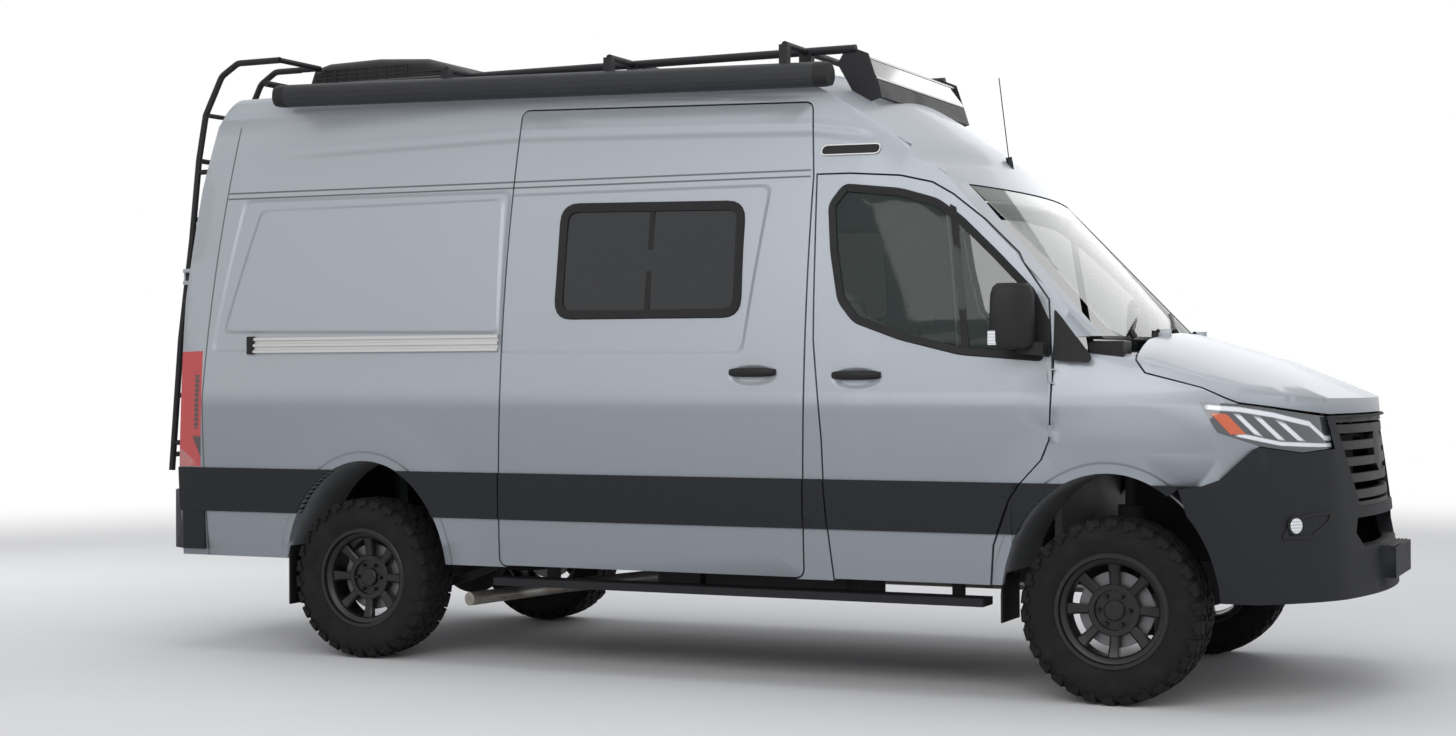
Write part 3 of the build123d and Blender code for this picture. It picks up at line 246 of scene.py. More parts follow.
floor_finish.tree.links.new(fade.outputs[0], floor_finish.tree.nodes["Material Output"].inputs["Surface"])
floor_mesh.materials.append(floor_finish.material)
studio_floor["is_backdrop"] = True

world = bpy.data.worlds.new("studio")
bpy.context.scene.world = world
world.use_nodes = True
world_tree = world.node_tree
backdrop = world_tree.nodes["Background"]
backdrop.inputs["Strength"].default_value = 0.46
backdrop.inputs["Color"].default_value = (0.93, 0.95, 1.0, 1)
white = world_tree.nodes.new("ShaderNodeBackground")
white.inputs["Color"].default_value = (1, 1, 1, 1)
white.inputs["Strength"].default_value = 1.0
path = world_tree.nodes.new("ShaderNodeLightPath")
seen = Tone(world_tree, path.outputs["Is Camera Ray"])
for ray in ("Is Transmission Ray", "Is Glossy Ray"):
    seen = seen.higher(Tone(world_tree, path.outputs[ray]))
choice = world_tree.nodes.new("ShaderNodeMixShader")
world_tree.links.new(seen.socket, choice.inputs[0])
world_tree.links.new(backdrop.outputs[0], choice.inputs[1])
world_tree.links.new(white.outputs[0], choice.inputs[2])
world_tree.links.new(choice.outputs[0], world_tree.nodes["World Output"].inputs["Surface"])
bpy.context.scene.view_settings.view_transform = "Standard"

# Lamps: name, size, power, place from the rear axle, aim
LAMPS = [
    ("overhead", (9.0, 4.0), 110, (1700, 0, 6500), (1700, 0, 0)),
    ("key", (8.0, 3.0), 225, (3500, -7500, 4800), (1700, 0, 1000)),
    ("front", (4.0, 3.0), 40, (9500, -1500, 3500), (3500, 0, 1000)),
    ("rear", (4.0, 3.0), 90, (-6000, 1500, 3500), (0, 0, 1000)),
    ("far", (7.0, 3.0), 110, (1500, 7500, 4200), (1500, 0, 1000)),
]
for name, size, power, place, aim in LAMPS:
    light = bpy.data.lights.new(name, "AREA")
    light.shape = "RECTANGLE"
    light.size, light.size_y = size
    light.energy = power
    lamp = bpy.data.objects.new(name, light)
    bpy.context.scene.collection.objects.link(lamp)
    turn = (spot(*aim) - spot(*place)).to_track_quat("-Z", "Y")
    lamp.matrix_world = Matrix.Translation(spot(*place)) @ turn.to_matrix().to_4x4()


# The body panels: pressed steel in metallic silver. Each is a merged copy of its solid, shaded smooth up to
# its folds, with a dark lining on the faces that look inwards. The paint carries the swages and recesses,
# and a painted shade that darkens the sides below the swage line.
SMOOTH_ANGLE = math.radians(30)
RECESSES = [
    ([(-744, 2229), (790, 2216), (790, 1482), (-868, 1482)], -0.012, 26, 60),
    ([(-636, 2176), (756, 2180), (776, 1556), (-800, 1576)], 0.010, 22, 50),
    ([(500, 2200), (2128, 2192), (2028, 1452), (500, 1468)], -0.010, 20, 70),
]
RECESS_STARTS = [-1200, -1200, 806]
# Door-handle cups: centre ahead of the rear axle, height, half length
CUPS = [(2572, 1338, 122), (2084, 1352, 122)]
CREASE = [(-700, 2452), (796, 2478), (1752, 2452), (2301, 2432), (2620, 2385)]
SWAGE_Z = 1288
GUTTER_Z = [2266, 2238]
BACK_SEAM = [(512, -884), (1239, -922), (2651, -835)]
ARCH_HALF, ARCH_HEIGHT, ARCH_Z, REAR_ARCH_SHIFT = 458, 550, 400, 45


def side_place(finish):
    """Distance ahead of the rear axle and height, in metres."""
    return finish.x - axle_x, finish.z


def inside(x, z, corners, rounding):
    """Signed distance, in metres, out of a convex outline of corners in millimetres, given clockwise."""
    distance = None
    for (x0, z0), (x1, z1) in zip(corners, corners[1:] + corners[:1]):
        length = math.hypot(x1 - x0, z1 - z0)
        nx, nz = -(z1 - z0) / length, (x1 - x0) / length
        edge = x * nx + z * nz - (x0 * nx + z0 * nz) / 1000
        distance = edge if distance is None else distance.rounded_higher(edge, rounding / 1000)
    return distance


def along_line(x, line):
    """A height that follows a line of points, in metres."""
    height = line[0][1] / 1000 + x * 0
    for (x0, z0), (x1, z1) in zip(line, line[1:]):
        share = (x - x0 / 1000).higher(0).lower((x1 - x0) / 1000)
        height = height + share * ((z1 - z0) / (x1 - x0))
    return height


def arch_distance(x, z, centre):
    """Distance out from a wheel arch's edge, in metres, about right near the edge."""
    across = (x - centre / 1000) / (ARCH_HALF / 1000)
    up = (z - ARCH_Z / 1000).higher(0) / (ARCH_HEIGHT / 1000)
    return ((across * across + up * up) ** 0.5 - 1) * ((ARCH_HALF + ARCH_HEIGHT) / 2000)


paint = Finish("silver_paint", (0.39, 0.42, 0.46), metallic=0.3, roughness=0.42, coat=0.12)
px, pz = side_place(paint)
relief = px * 0
for (corners, height, edge, rounding), start in zip(RECESSES, RECESS_STARTS):
    pressed = inside(px, pz, corners, rounding).ramp(edge / 2000, -edge / 2000)
    relief = relief + pressed * px.ramp(start / 1000 - 0.001, start / 1000) * height
for cup_x, cup_z, half in CUPS:
    along, over = (px - cup_x / 1000) / (half / 1000), (pz - cup_z / 1000) / 0.048
    relief = relief - ((along * along + over * over) ** 0.5).ramp(1.0, 0.55) * 0.016
crease_mask = px.ramp(-0.75, -0.3) * px.ramp(2.68, 2.5)
crease = pz - along_line(px, CREASE)
relief = relief - crease.ridge(0, 0.035) * crease_mask * 0.007 + crease.ramp(0.06, 0) * crease_mask * 0.004
relief = relief + pz.ramp(SWAGE_Z / 1000, SWAGE_Z / 1000 - 0.07) * 0.008
for centre in (REAR_ARCH_SHIFT, wheelbase * 1000):
    edge = arch_distance(px, pz, centre)
    relief = relief + edge.ramp(0.26, 0.05) * 0.016 - edge.ramp(0.045, 0.032) * 0.006
paint.bump(relief)
seam = px * 0
for height in GUTTER_Z:
    line = abs(pz - height / 1000 - px * -0.006).ramp(0.006, 0.002)
    seam = seam.higher(line * px.ramp(-0.86, -0.85) * px.ramp(2.32, 2.31))
back_line = px - along_line(pz, BACK_SEAM)
seam = seam.higher(abs(back_line).ramp(0.006, 0.002) * pz.ramp(2.62, 2.6))
flake = paint.noise(900, 1).ramp(0.35, 0.65)
cloud = paint.noise(0.8, 2)
body_tone = paint.mix(flake, (0.365, 0.392, 0.430), (0.405, 0.432, 0.470))
body_tone = paint.mix(cloud.ramp(0.3, 0.8) * 0.25, body_tone, (0.42, 0.45, 0.48))
# Painted shade: the silver darkens below the swage line, standing in for the ground's darker reflection.
painted_lower_shade = pz.ramp(SWAGE_Z / 1000 + 0.02, SWAGE_Z / 1000 - 0.1)
body_tone = paint.mix(painted_lower_shade * 0.7, body_tone, (0.20, 0.22, 0.25))
paint.set("Base Color", paint.mix(seam * 0.85, body_tone, (0.05, 0.055, 0.06)))
paint.set("Roughness", 0.38 + paint.noise(3) * 0.08)

lining = Finish("dark_lining", (0.055, 0.056, 0.06), roughness=0.8)
weave = lining.noise(24, 2)
lining.set("Base Color", lining.mix(weave, (0.045, 0.046, 0.05), (0.075, 0.076, 0.08)))
lining.bump(weave * 0.0002)

# Panels: node, body, the way that its inner face looks
PANELS = [
    ("side_right", "body", (0, 1, 0)),
    ("side_left", "body", (0, -1, 0)),
    ("roof", "body", (0, 0, -1)),
    ("sliding_door", "body", (0, 1, 0)),
    ("front_door_right", "front_door_right", (0, 1, 0)),
    ("front_door_left", "front_door_left", (0, -1, 0)),
    ("back_door_right", "back_door_right", (1, 0, 0)),
    ("back_door_left", "back_door_left", (1, 0, 0)),
    ("bonnet", "bonnet", (0, 0, -1)),
    ("wings", "body", None),
]


def dress(obj, materials, body, angle=SMOOTH_ANGLE):
    """Gives a new piece its materials and smooth shading, and lets it ride on a body."""
    for material in materials:
        obj.data.materials.append(material)
    obj.data.polygons.foreach_set("use_smooth", [True] * len(obj.data.polygons))
    obj.data.set_sharp_from_angle(angle=angle)
    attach(obj, body)
    return obj


def merged_copy(node):
    """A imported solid's mesh with its doubled points merged, for editing."""
    work = bmesh.new()
    work.from_mesh(nodes[node].data)
    bmesh.ops.remove_doubles(work, verts=work.verts, dist=0.00002)
    bmesh.ops.dissolve_degenerate(work, edges=work.edges, dist=0.00002)
    return work


def placed(name, work):
    """A new object from an edited mesh."""
    mesh = bpy.data.meshes.new(name)
    work.to_mesh(mesh)
    work.free()
    obj = bpy.data.objects.new(name, mesh)
    bpy.context.scene.collection.objects.link(obj)
    return obj


for node, body, inward in PANELS:
    work = merged_copy(node)
    work.normal_update()
    if inward:
        for face in work.faces:
            if face.normal.dot(Vector(inward)) > 0.35:
                face.material_index = 1
    panel = placed(f"{node}_panel", work)
    dress(panel, [paint.material, lining.material], body)
    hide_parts(node)


# Plastic: the bumpers, the side mouldings, the mirrors and other unpainted trim, moulded with a fine grain
# and clipped to the body. The mouldings are slices of the panels behind them, set a little proud.
def grained(name, colour, roughness, grain=420, depth=0.00025):
    """A moulded plastic with a fine grain and faint scuffs."""
    finish = Finish(name, colour, roughness=roughness, specular=0.3)
    texture = finish.noise(grain, 3)
    scuff = finish.noise(6, 4).ramp(0.45, 0.75)
    lighter = tuple(min(1, value * 1.35 + 0.004) for value in colour)
    finish.set("Base Color", finish.mix(scuff * 0.5, colour, lighter))
    finish.set("Roughness", roughness + scuff * 0.1 + texture * 0.06)
    finish.bump(texture * depth)
    return finish.material


charcoal = grained("charcoal_plastic", (0.012, 0.013, 0.016), 0.65)
black_trim = grained("black_trim", (0.007, 0.007, 0.008), 0.5)
black_coat = grained("black_powder_coat", (0.009, 0.009, 0.011), 0.5, grain=900, depth=0.00012)
grey_coat = grained("grey_powder_coat", (0.022, 0.023, 0.026), 0.5, grain=900, depth=0.00012)
underside = grained("underbody_paint", (0.022, 0.022, 0.024), 0.75, grain=120, depth=0.0008)

MOULDING_LOW, MOULDING_HIGH, MOULDING_PROUD = 0.690, 0.905, 0.009


def cut_level(work, height, keep_above):
    """Cuts a mesh with a level plane, keeps one part and closes the cut."""
    geometry = work.verts[:] + work.edges[:] + work.faces[:]
    cut = bmesh.ops.bisect_plane(
        work, geom=geometry, dist=0.00001, plane_co=(0, 0, height), plane_no=(0, 0, 1),
        clear_inner=keep_above, clear_outer=not keep_above,
    )
    edges = [item for item in cut["geom_cut"] if isinstance(item, bmesh.types.BMEdge)]
    bmesh.ops.holes_fill(work, edges=edges)


MOULDED = [
    ("side_right", "body"), ("side_left", "body"), ("sliding_door", "body"),
    ("front_door_right", "front_door_right"), ("front_door_left", "front_door_left"), ("wings", "body"),
]
for node, body in MOULDED:
    work = merged_copy(node)
    cut_level(work, MOULDING_LOW, True)
    cut_level(work, MOULDING_HIGH, False)
    for vert in work.verts:
        vert.co.y += math.copysign(MOULDING_PROUD, vert.co.y)
    dress(placed(f"{node}_moulding", work), [charcoal], body)

for node, body, material, slot in (
    ("bumper_front", "body", charcoal, "dark_plastic"),
    ("bumper_rear", "body", charcoal, "dark_plastic"),
    ("cowl", "body", black_trim, "dark_plastic"),
):
    piece = dress(placed(f"{node}_skin", merged_copy(node)), [material], body)
    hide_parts(node)

# Glass: dark privacy glass behind the cab, and clear green-tinted glass in the front, bonded in its openings.
# The windscreen darkens a little towards its top edge.
privacy = Finish("privacy_glass", (0.012, 0.014, 0.016), roughness=0.04, alpha=0.86, specular=0.6)
privacy.set("Roughness", 0.03 + privacy.noise(2) * 0.02)
privacy_glass = privacy.material
green = Finish("cab_glass", (0.045, 0.065, 0.06), roughness=0.03, alpha=0.3, specular=0.5)
green.set("Roughness", 0.02 + green.noise(2) * 0.02)
cab_glass = green.material
screen = Finish("screen_glass", (0.05, 0.07, 0.065), roughness=0.03, alpha=0.5, specular=0.6)
screen.set("Alpha", 0.48 + screen.z.ramp(2.06, 2.13) * 0.42)
screen_glass = screen.material
GLAZING = [
    ("windscreen", "body", screen_glass), ("side_windows", "body", privacy_glass),
    ("front_glass_right", "front_door_right", cab_glass), ("front_glass_left", "front_door_left", cab_glass),
    ("back_glass_right", "back_door_right", privacy_glass),
    ("back_glass_left", "back_door_left", privacy_glass),
]
for node, body, material in GLAZING:
    piece = dress(placed(f"{node}_pane", merged_copy(node)), [material], body)
    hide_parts(node)

# The solids whose own shape is right: frame, axles, floor, tank, exhaust, steps and rack get their finishes.
bare_steel = Finish("dull_steel", (0.42, 0.40, 0.37), metallic=0.9, roughness=0.42)
stain = bare_steel.noise(9, 4).ramp(0.4, 0.75)
bare_steel.set("Base Color", bare_steel.mix(stain, (0.46, 0.44, 0.41), (0.28, 0.24, 0.20)))
bare_steel.set("Roughness", 0.36 + stain * 0.25)
house_grey = grained("wheelhouse_paint", (0.20, 0.205, 0.21), 0.5, grain=60, depth=0.0006)
for node, material in (
    ("frame", underside), ("front_axle", underside), ("rear_axle", underside), ("knuckle_right", underside),
    ("knuckle_left", underside), ("floor", house_grey), ("engine_block", underside), ("fuel_tank", underside),
    ("exhaust", bare_steel.material), ("running_boards", black_coat), ("roof_rack", black_coat),
    ("mud_flaps", black_trim), ("dashboard", black_trim), ("ladder", black_coat), ("grille", black_trim),
    ("hitch_receiver", underside),
):
    nodes[node].data.materials.clear()
    nodes[node].data.materials.append(material)

# Window frames: black rubber round the side panes, a divider down the middle of the large side windows, and
# the black sail panels that carry the mirrors.
SIDE_RADIUS, HALF_WIDTH, WIDEST_Z = 6756, 1010, 900


def skin_y(z):
    """Half the body's width at a height, in millimetres, on the tall arc of its side."""
    return HALF_WIDTH - SIDE_RADIUS + math.sqrt(SIDE_RADIUS**2 - (z - WIDEST_Z) ** 2)


def softened(points, radius, steps=5):
    """A closed outline with its corners rounded."""
    result = []
    count = len(points)
    for index, corner in enumerate(points):
        before, after = points[index - 1], points[(index + 1) % count]
        sides = []
        for other in (before, after):
            reach = math.dist(corner, other)
            share = min(radius, reach * 0.45) / reach
            sides.append([c + (o - c) * share for c, o in zip(corner, other)])
        for step in range(steps + 1):
            t = step / steps
            result.append(tuple(
                (1 - t) ** 2 * a + 2 * t * (1 - t) * c + t * t * b
                for a, c, b in zip(sides[0], corner, sides[1])
            ))
    return result


def grown(points, distance):
    """A closed outline with each corner moved out by a distance, for an outline given clockwise."""
    result = []
    count = len(points)
    for index, (x, z) in enumerate(points):
        x0, z0 = points[index - 1]
        x1, z1 = points[(index + 1) % count]
        d0, d1 = math.hypot(x - x0, z - z0), math.hypot(x1 - x, z1 - z)
        nx, nz = -(z - z0) / d0 - (z1 - z) / d1, (x - x0) / d0 + (x1 - x) / d1
        size = math.hypot(nx, nz)
        scale = 2 * distance / size**2
        result.append((x + nx * scale, z + nz * scale))
    return result


def on_side(points, side, proud=0):
    """Places on the body's side from distances ahead of the rear axle and heights."""
    return [spot(x, side * (skin_y(z) + proud), z) for x, z in points]


def loft(rings, ends="open", closed=True):
    """A skin over rings of points. Ends are left open, capped, or joined to each other."""
    size = len(rings[0])
    points = [point for ring in rings for point in ring]
    faces = []
    pairs = len(rings) if ends == "join" else len(rings) - 1
    for ring in range(pairs):
        low, high = ring * size, (ring + 1) % len(rings) * size
        for step in range(size if closed else size - 1):
            after = (step + 1) % size
            faces.append((low + step, low + after, high + after, high + step))
    if ends == "cap":
        faces.append(tuple(range(size))[::-1])
        faces.append(tuple(range((len(rings) - 1) * size, len(rings) * size)))
    return points, faces


def block(low, high):
    """A square block between two corners in millimetres."""
    (x0, y0, z0), (x1, y1, z1) = low, high
    corners = ((x0, y0), (x1, y0), (x1, y1), (x0, y1))
    return loft([[spot(x, y, z) for x, y in corners] for z in (z0, z1)], "cap")


def made(name, shapes, material, body, slot=None, bevel=0, angle=SMOOTH_ANGLE, smooth=0):
    """One piece from several shapes, its faces turned outwards, with fine bevels if asked."""
    work = bmesh.new()
    for points, faces in shapes:
        verts = [work.verts.new(point) for point in points]
        for face in faces:
            try:
                work.faces.new([verts[index] for index in face])
            except ValueError:
                continue
    bmesh.ops.remove_doubles(work, verts=work.verts, dist=0.00001)
    bmesh.ops.recalc_face_normals(work, faces=work.faces)
    obj = placed(name, work)
    if bevel:
        modifier = obj.modifiers.new("edges", "BEVEL")
        modifier.width = bevel / 1000
        modifier.segments = 2
        modifier.limit_method = "ANGLE"
        modifier.angle_limit = math.radians(35)
    if smooth:
        modifier = obj.modifiers.new("rounding", "SUBSURF")
        modifier.levels = modifier.render_levels = smooth
    return dress(obj, [material], body, angle)


def trim(name, shapes, body="body", **options):
    """One piece of black trim."""
    return made(name, shapes, black_trim, body, "dark_plastic", **options)


SIDE_WINDOW = [(1084, 1622), (1084, 2138), (2001, 2118), (2007, 1618)]
FRONT_GLASS = [
    (2421, 2093), (2481, 2172), (2737, 2142), (2905, 2092), (3018, 2012), (3180, 1860), (3350, 1690),
    (3385, 1420), (3036, 1448), (2766, 1514), (2558, 1589), (2486, 1676), (2442, 1895),
]
rubber = grained("window_rubber", (0.006, 0.006, 0.007), 0.55, grain=700, depth=0.0001)


def window_frame(outline, side, radius, outside, inside_width, proud=7, depth=14):
    """A rubber frame that overlaps the panel outside its opening and the glass inside it."""
    outer = softened(grown(outline, outside), radius + outside)
    inner = softened(grown(outline, -inside_width), max(radius - inside_width, 8))
    mid_out = softened(grown(outline, outside - 5), radius + outside)
    return loft(
        [on_side(outer, side, 0.5), on_side(mid_out, side, proud), on_side(inner, side, proud - 4),
         on_side(inner, side, -depth), on_side(outer, side, -depth)], "join",
    )


SIDES = ((RIGHT, "right"), (LEFT, "left"))
DIVIDER_BACK, DIVIDER_FRONT = [(1536, 1630), (1536, 2116)], [(1562, 1630), (1562, 2116)]
for side, name in SIDES:
    divider = loft([on_side(points, side, proud) for points, proud in (
        (DIVIDER_BACK, -12), (DIVIDER_BACK, 0), (DIVIDER_FRONT, 0), (DIVIDER_FRONT, -12),
    )], "join", False)
    shapes = [window_frame(SIDE_WINDOW, side, 80, 12, 30), divider]
    made(f"window_frame_{name}", shapes, rubber, "body", "dark_plastic")
SAIL = [(3290, 1438), (3330, 1700), (3362, 1692), (3427, 1560), (3427, 1424)]
PILLAR_SAIL = [(3441, 1412), (3441, 1622), (3470, 1590), (3600, 1424), (3590, 1400)]
QUARTER_BAR = [(2966, 2078), (2996, 2062), (3080, 1440), (3046, 1446)]


def plate(points, side, proud, depth, radius=10):
    """A flat plate on the body's side."""
    outline = softened(points, radius, 3)
    return loft([on_side(outline, side, depth), on_side(outline, side, proud)], "cap")


for side, name in SIDES:
    shapes = [
        window_frame(FRONT_GLASS, side, 20, 14, 20),
        plate(SAIL, side, 9, -10),
        plate(QUARTER_BAR, side, 2, -10, 4),
    ]
    made(f"cab_window_frame_{name}", shapes, rubber, f"front_door_{name}", "dark_plastic")
    trim(f"pillar_sail_{name}", [plate(PILLAR_SAIL, side, 9, -6)], bevel=2)

# Door mirrors: a tall head moulded in black plastic with a clear lamp in its lower corner, on a short arm
# that comes out of the sail panel.
MIRROR_PLAN = [(3215, 1040), (3215, 1166), (3262, 1172), (3330, 1150), (3384, 1096), (3384, 1040)]
MIRROR_RISE = [(1459, 0.72), (1466, 0.9), (1490, 0.97), (1600, 1.0), (1680, 0.96), (1712, 0.86), (1727, 0.66)]
MIRROR_CENTRE = (3300, 1100)
MIRROR_ARM = [(3310, 1440), (3310, 1486), (3420, 1486), (3420, 1428)]
MIRROR_LENS = [(3210, 1120), (3213, 1161), (3246, 1170)]
lamp_lens = Finish("lamp_lens", (0.75, 0.77, 0.80), metallic=0.3, roughness=0.12, coat=1.0)
flutes = (lamp_lens.z * 500).sine().ramp(-0.5, 0.5)
lamp_lens.set("Base Color", lamp_lens.mix(flutes, (0.55, 0.57, 0.60), (0.80, 0.82, 0.84)))
for side, name in SIDES:
    outline = softened(MIRROR_PLAN, 34, 4)
    mid_x, mid_y = MIRROR_CENTRE
    head = loft([
        [spot(mid_x + (x - mid_x) * share, side * (mid_y + (y - mid_y) * share), z) for x, y in outline]
        for z, share in MIRROR_RISE
    ], "cap")
    arm = loft([
        [spot(x, side * y, z) for x, z in softened(MIRROR_ARM, 14, 3)]
        for y in (skin_y(1450) - 6, skin_y(1450) + 30, 1075)
    ], "cap")
    obj = trim(f"mirror_{name}_shell", [head, arm], f"front_door_{name}", angle=math.radians(40))
    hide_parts(f"mirror_{name}")
    rings = []
    for z in (1474, 1532):
        front = [spot(x, side * y, z) for x, y in MIRROR_LENS]
        back = [spot(x + 10, side * (y - 12), z) for x, y in reversed(MIRROR_LENS)]
        rings.append(front + back)
    made(f"mirror_lamp_{name}", [loft(rings, "cap")], lamp_lens.material, f"front_door_{name}", "lamp_clear")

# Door handles: a black plastic pull bar on two feet, over the cup that is pressed in the door.
# Handles: centre ahead of the rear axle, height, body, side
HANDLES = [
    (2572, 1352, "front_door_right", RIGHT), (2572, 1352, "front_door_left", LEFT),
    (2084, 1366, "body", RIGHT),
]
for index, (x, z, body, side) in enumerate(HANDLES):
    pull = []
    for step in range(13):
        t = step / 12 * 2 - 1
        bulge = 34 - 26 * abs(t) ** 3
        tall = 20 - 7 * abs(t) ** 4
        ring = [
            spot(x + t * 112, side * (skin_y(z) + bulge - 7 + 9 * math.cos(a)), z + tall * math.sin(a))
            for a in (math.tau * k / 12 for k in range(12))
        ]
        pull.append(ring)
    foot_y = side * (skin_y(z) - 4)
    foot_reach = 34 if side > 0 else -18
    feet = [
        block((x + end - 10, foot_y - 8, z - 9), (x + end + 10, foot_y + foot_reach, z + 9))
        for end in (-98, 98)
    ]
    trim(f"door_handle_{index}", [loft(pull, "cap"), *feet], body, angle=math.radians(50))

# Trim on the right side: the drawn aluminium rail screwed on under the rear blank, and a plain pill-shaped
# plate in black plastic with a bright rim over the front door.
rail_metal = Finish("rail_aluminium", (0.52, 0.52, 0.52), metallic=0.85, roughness=0.4)
brush = rail_metal.noise(400, 2)
rail_metal.set("Base Color", rail_metal.mix(brush, (0.48, 0.47, 0.46), (0.60, 0.60, 0.60)))
rail_metal.set("Roughness", 0.32 + brush * 0.15)
RAIL_STEPS = [
    (1545, -12), (1545, 18), (1530, 18), (1530, 9), (1514, 9), (1514, 18), (1500, 18), (1500, 9), (1484, 9),
    (1484, 18), (1470, 18), (1470, -12),
]
RAIL_ENDS = (-610, 786)
rail = loft([[spot(x, RIGHT * (skin_y(z) + proud), z) for z, proud in RAIL_STEPS] for x in RAIL_ENDS], "cap")
made("side_rail", [rail], rail_metal.material, "body", "underbody_steel", bevel=1)
rail_y = -skin_y(1507)
trim("side_rail_end", [block((-648, rail_y - 20, 1464), (-610, rail_y + 8, 1551))], bevel=3)
PILL = [(2352, 2314), (2364, 2362), (2640, 2358), (2632, 2310)]
trim("name_plate", [plate(PILL, RIGHT, 5, -4, 26)])
rim_outer, rim_inner = softened(PILL, 26, 3), softened(grown(PILL, -5), 22, 3)
rim_rings = [on_side(rim_outer, RIGHT, proud) for proud in (4, 7)]
rim_rings += [on_side(rim_inner, RIGHT, proud) for proud in (7, 4)]
made("name_plate_rim", [loft(rim_rings, "join")], rail_metal.material, "body", "underbody_steel")

# Lamps. Tail lamps are red over a dark foot with a louvred strip; head lamps have a clear cover over a dark
# housing with bright strips, three slanted bars and an amber lamp at the corner.
tail = Finish("tail_lamp", (0.55, 0.012, 0.015), roughness=0.12, coat=1.0)
tx, tz = side_place(tail)
foot = tz.ramp(1.07, 1.05) * (tx + 1.0 + (1.09 - tz) * -0.5).ramp(0.0, 0.012)
strip = (tx.ramp(-0.972, -0.965) * tx.ramp(-0.938, -0.945)) * tz.ramp(1.09, 1.1) * tz.ramp(1.37, 1.36)
louvre = (tz * 260).sine().ramp(-0.3, 0.3)
red = tail.mix(strip * (0.6 + louvre * 0.4), (0.50, 0.010, 0.014), (0.035, 0.008, 0.010))
tail.set("Base Color", tail.mix(foot.lower(1), red, (0.030, 0.005, 0.007)))
obj = dress(placed("tail_lamp_covers", merged_copy("tail_lamps")), [tail.material], "body")
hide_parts("tail_lamps")

beam = Finish("head_lamp", (0.05, 0.055, 0.06), roughness=0.1, coat=1.0)
hx, hz = side_place(beam)
BRIGHT_TOP = [(4050, 1222), (4190, 1210), (4300, 1188), (4420, 1150), (4470, 1090)]
BRIGHT_FOOT = [(4110, 1128), (4200, 1106), (4330, 1072), (4460, 1062)]
glow_mask = abs(hz - along_line(hx, BRIGHT_TOP)).ramp(0.013, 0.007) * hx.ramp(4.05, 4.08)
glow_mask = glow_mask.higher(abs(hz - along_line(hx, BRIGHT_FOOT)).ramp(0.011, 0.006) * hx.ramp(4.17, 4.19))
for bar_x in (4225, 4285, 4345):
    slant = hx - bar_x / 1000 + (hz - 1.14) * 0.9
    bar_mask = abs(slant).ramp(0.013, 0.008) * (hz - along_line(hx, BRIGHT_FOOT)).ramp(0.01, 0.02)
    glow_mask = glow_mask.higher(bar_mask * (along_line(hx, BRIGHT_TOP) - hz).ramp(0.012, 0.03))
amber = abs((hx - 4.135) + (hz - 1.17) * 0.85).ramp(0.03, 0.026)
amber = amber * (along_line(hx, BRIGHT_TOP) - hz).ramp(0.018, 0.024) * (hz - 1.108).ramp(0, 0.006)
housing = beam.mix(glow_mask, (0.06, 0.065, 0.075), (0.82, 0.85, 0.90))
beam.set("Base Color", beam.mix(amber, housing, (0.62, 0.10, 0.02)))
beam.bump(glow_mask * 0.004 + amber * 0.003)
obj = dress(placed("head_lamp_covers", merged_copy("head_lamps")), [beam.material], "body")
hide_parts("head_lamps")

# Wheels: all-terrain tyres, a rubber carcass with blocks repeated around it, on eight-spoked black alloy
# wheels with six nuts, and a steel brake disc behind each.


def repeated(name, shape, count, start, step=(0, 0, 0), turn=(0, 0, 0)):
    """Copies of a shape, each moved and turned on from the last, read back as a plain mesh."""
    source = bpy.data.meshes.new(name)
    source.from_pydata([tuple(point) for point in shape[0]], [], shape[1])
    obj = bpy.data.objects.new(name, source)
    bpy.context.scene.collection.objects.link(obj)
    modifier = obj.modifiers.new("repeats", "NODES")
    modifier.node_group = repeats
    inputs = {"Count": count, "Start": start, "Step": step, "Turn": turn}
    for item in repeats.interface.items_tree:
        if item.item_type == "SOCKET" and item.in_out == "INPUT" and item.name in inputs:
            modifier[item.identifier] = inputs[item.name]
    bpy.context.view_layer.update()
    mesh = bpy.data.meshes.new_from_object(obj.evaluated_get(bpy.context.evaluated_depsgraph_get()))
    result = [vert.co.copy() for vert in mesh.vertices], [tuple(face.vertices) for face in mesh.polygons]
    obj.modifiers.clear()
    bpy.data.objects.remove(obj)
    bpy.data.meshes.remove(mesh)
    return result


repeats = bpy.data.node_groups.new("repeats", "GeometryNodeTree")
repeats.interface.new_socket("Geometry", in_out="INPUT", socket_type="NodeSocketGeometry")
repeats.interface.new_socket("Count", in_out="INPUT", socket_type="NodeSocketInt")
for socket_name in ("Start", "Step", "Turn"):
    repeats.interface.new_socket(socket_name, in_out="INPUT", socket_type="NodeSocketVector")
repeats.interface.new_socket("Geometry", in_out="OUTPUT", socket_type="NodeSocketGeometry")
entry = repeats.nodes.new("NodeGroupInput")
outlet = repeats.nodes.new("NodeGroupOutput")
places = repeats.nodes.new("GeometryNodePoints")
number = repeats.nodes.new("GeometryNodeInputIndex")
single = repeats.nodes.new("GeometryNodeGeometryToInstance")
spread = repeats.nodes.new("GeometryNodeInstanceOnPoints")
solid = repeats.nodes.new("GeometryNodeRealizeInstances")
coated = repeats.nodes.new("GeometryNodeSetMaterial")
coated.inputs["Material"].default_value = black_trim
travel = repeats.nodes.new("ShaderNodeVectorMath")
travel.operation = "MULTIPLY_ADD"
twist = repeats.nodes.new("ShaderNodeVectorMath")
twist.operation = "SCALE"
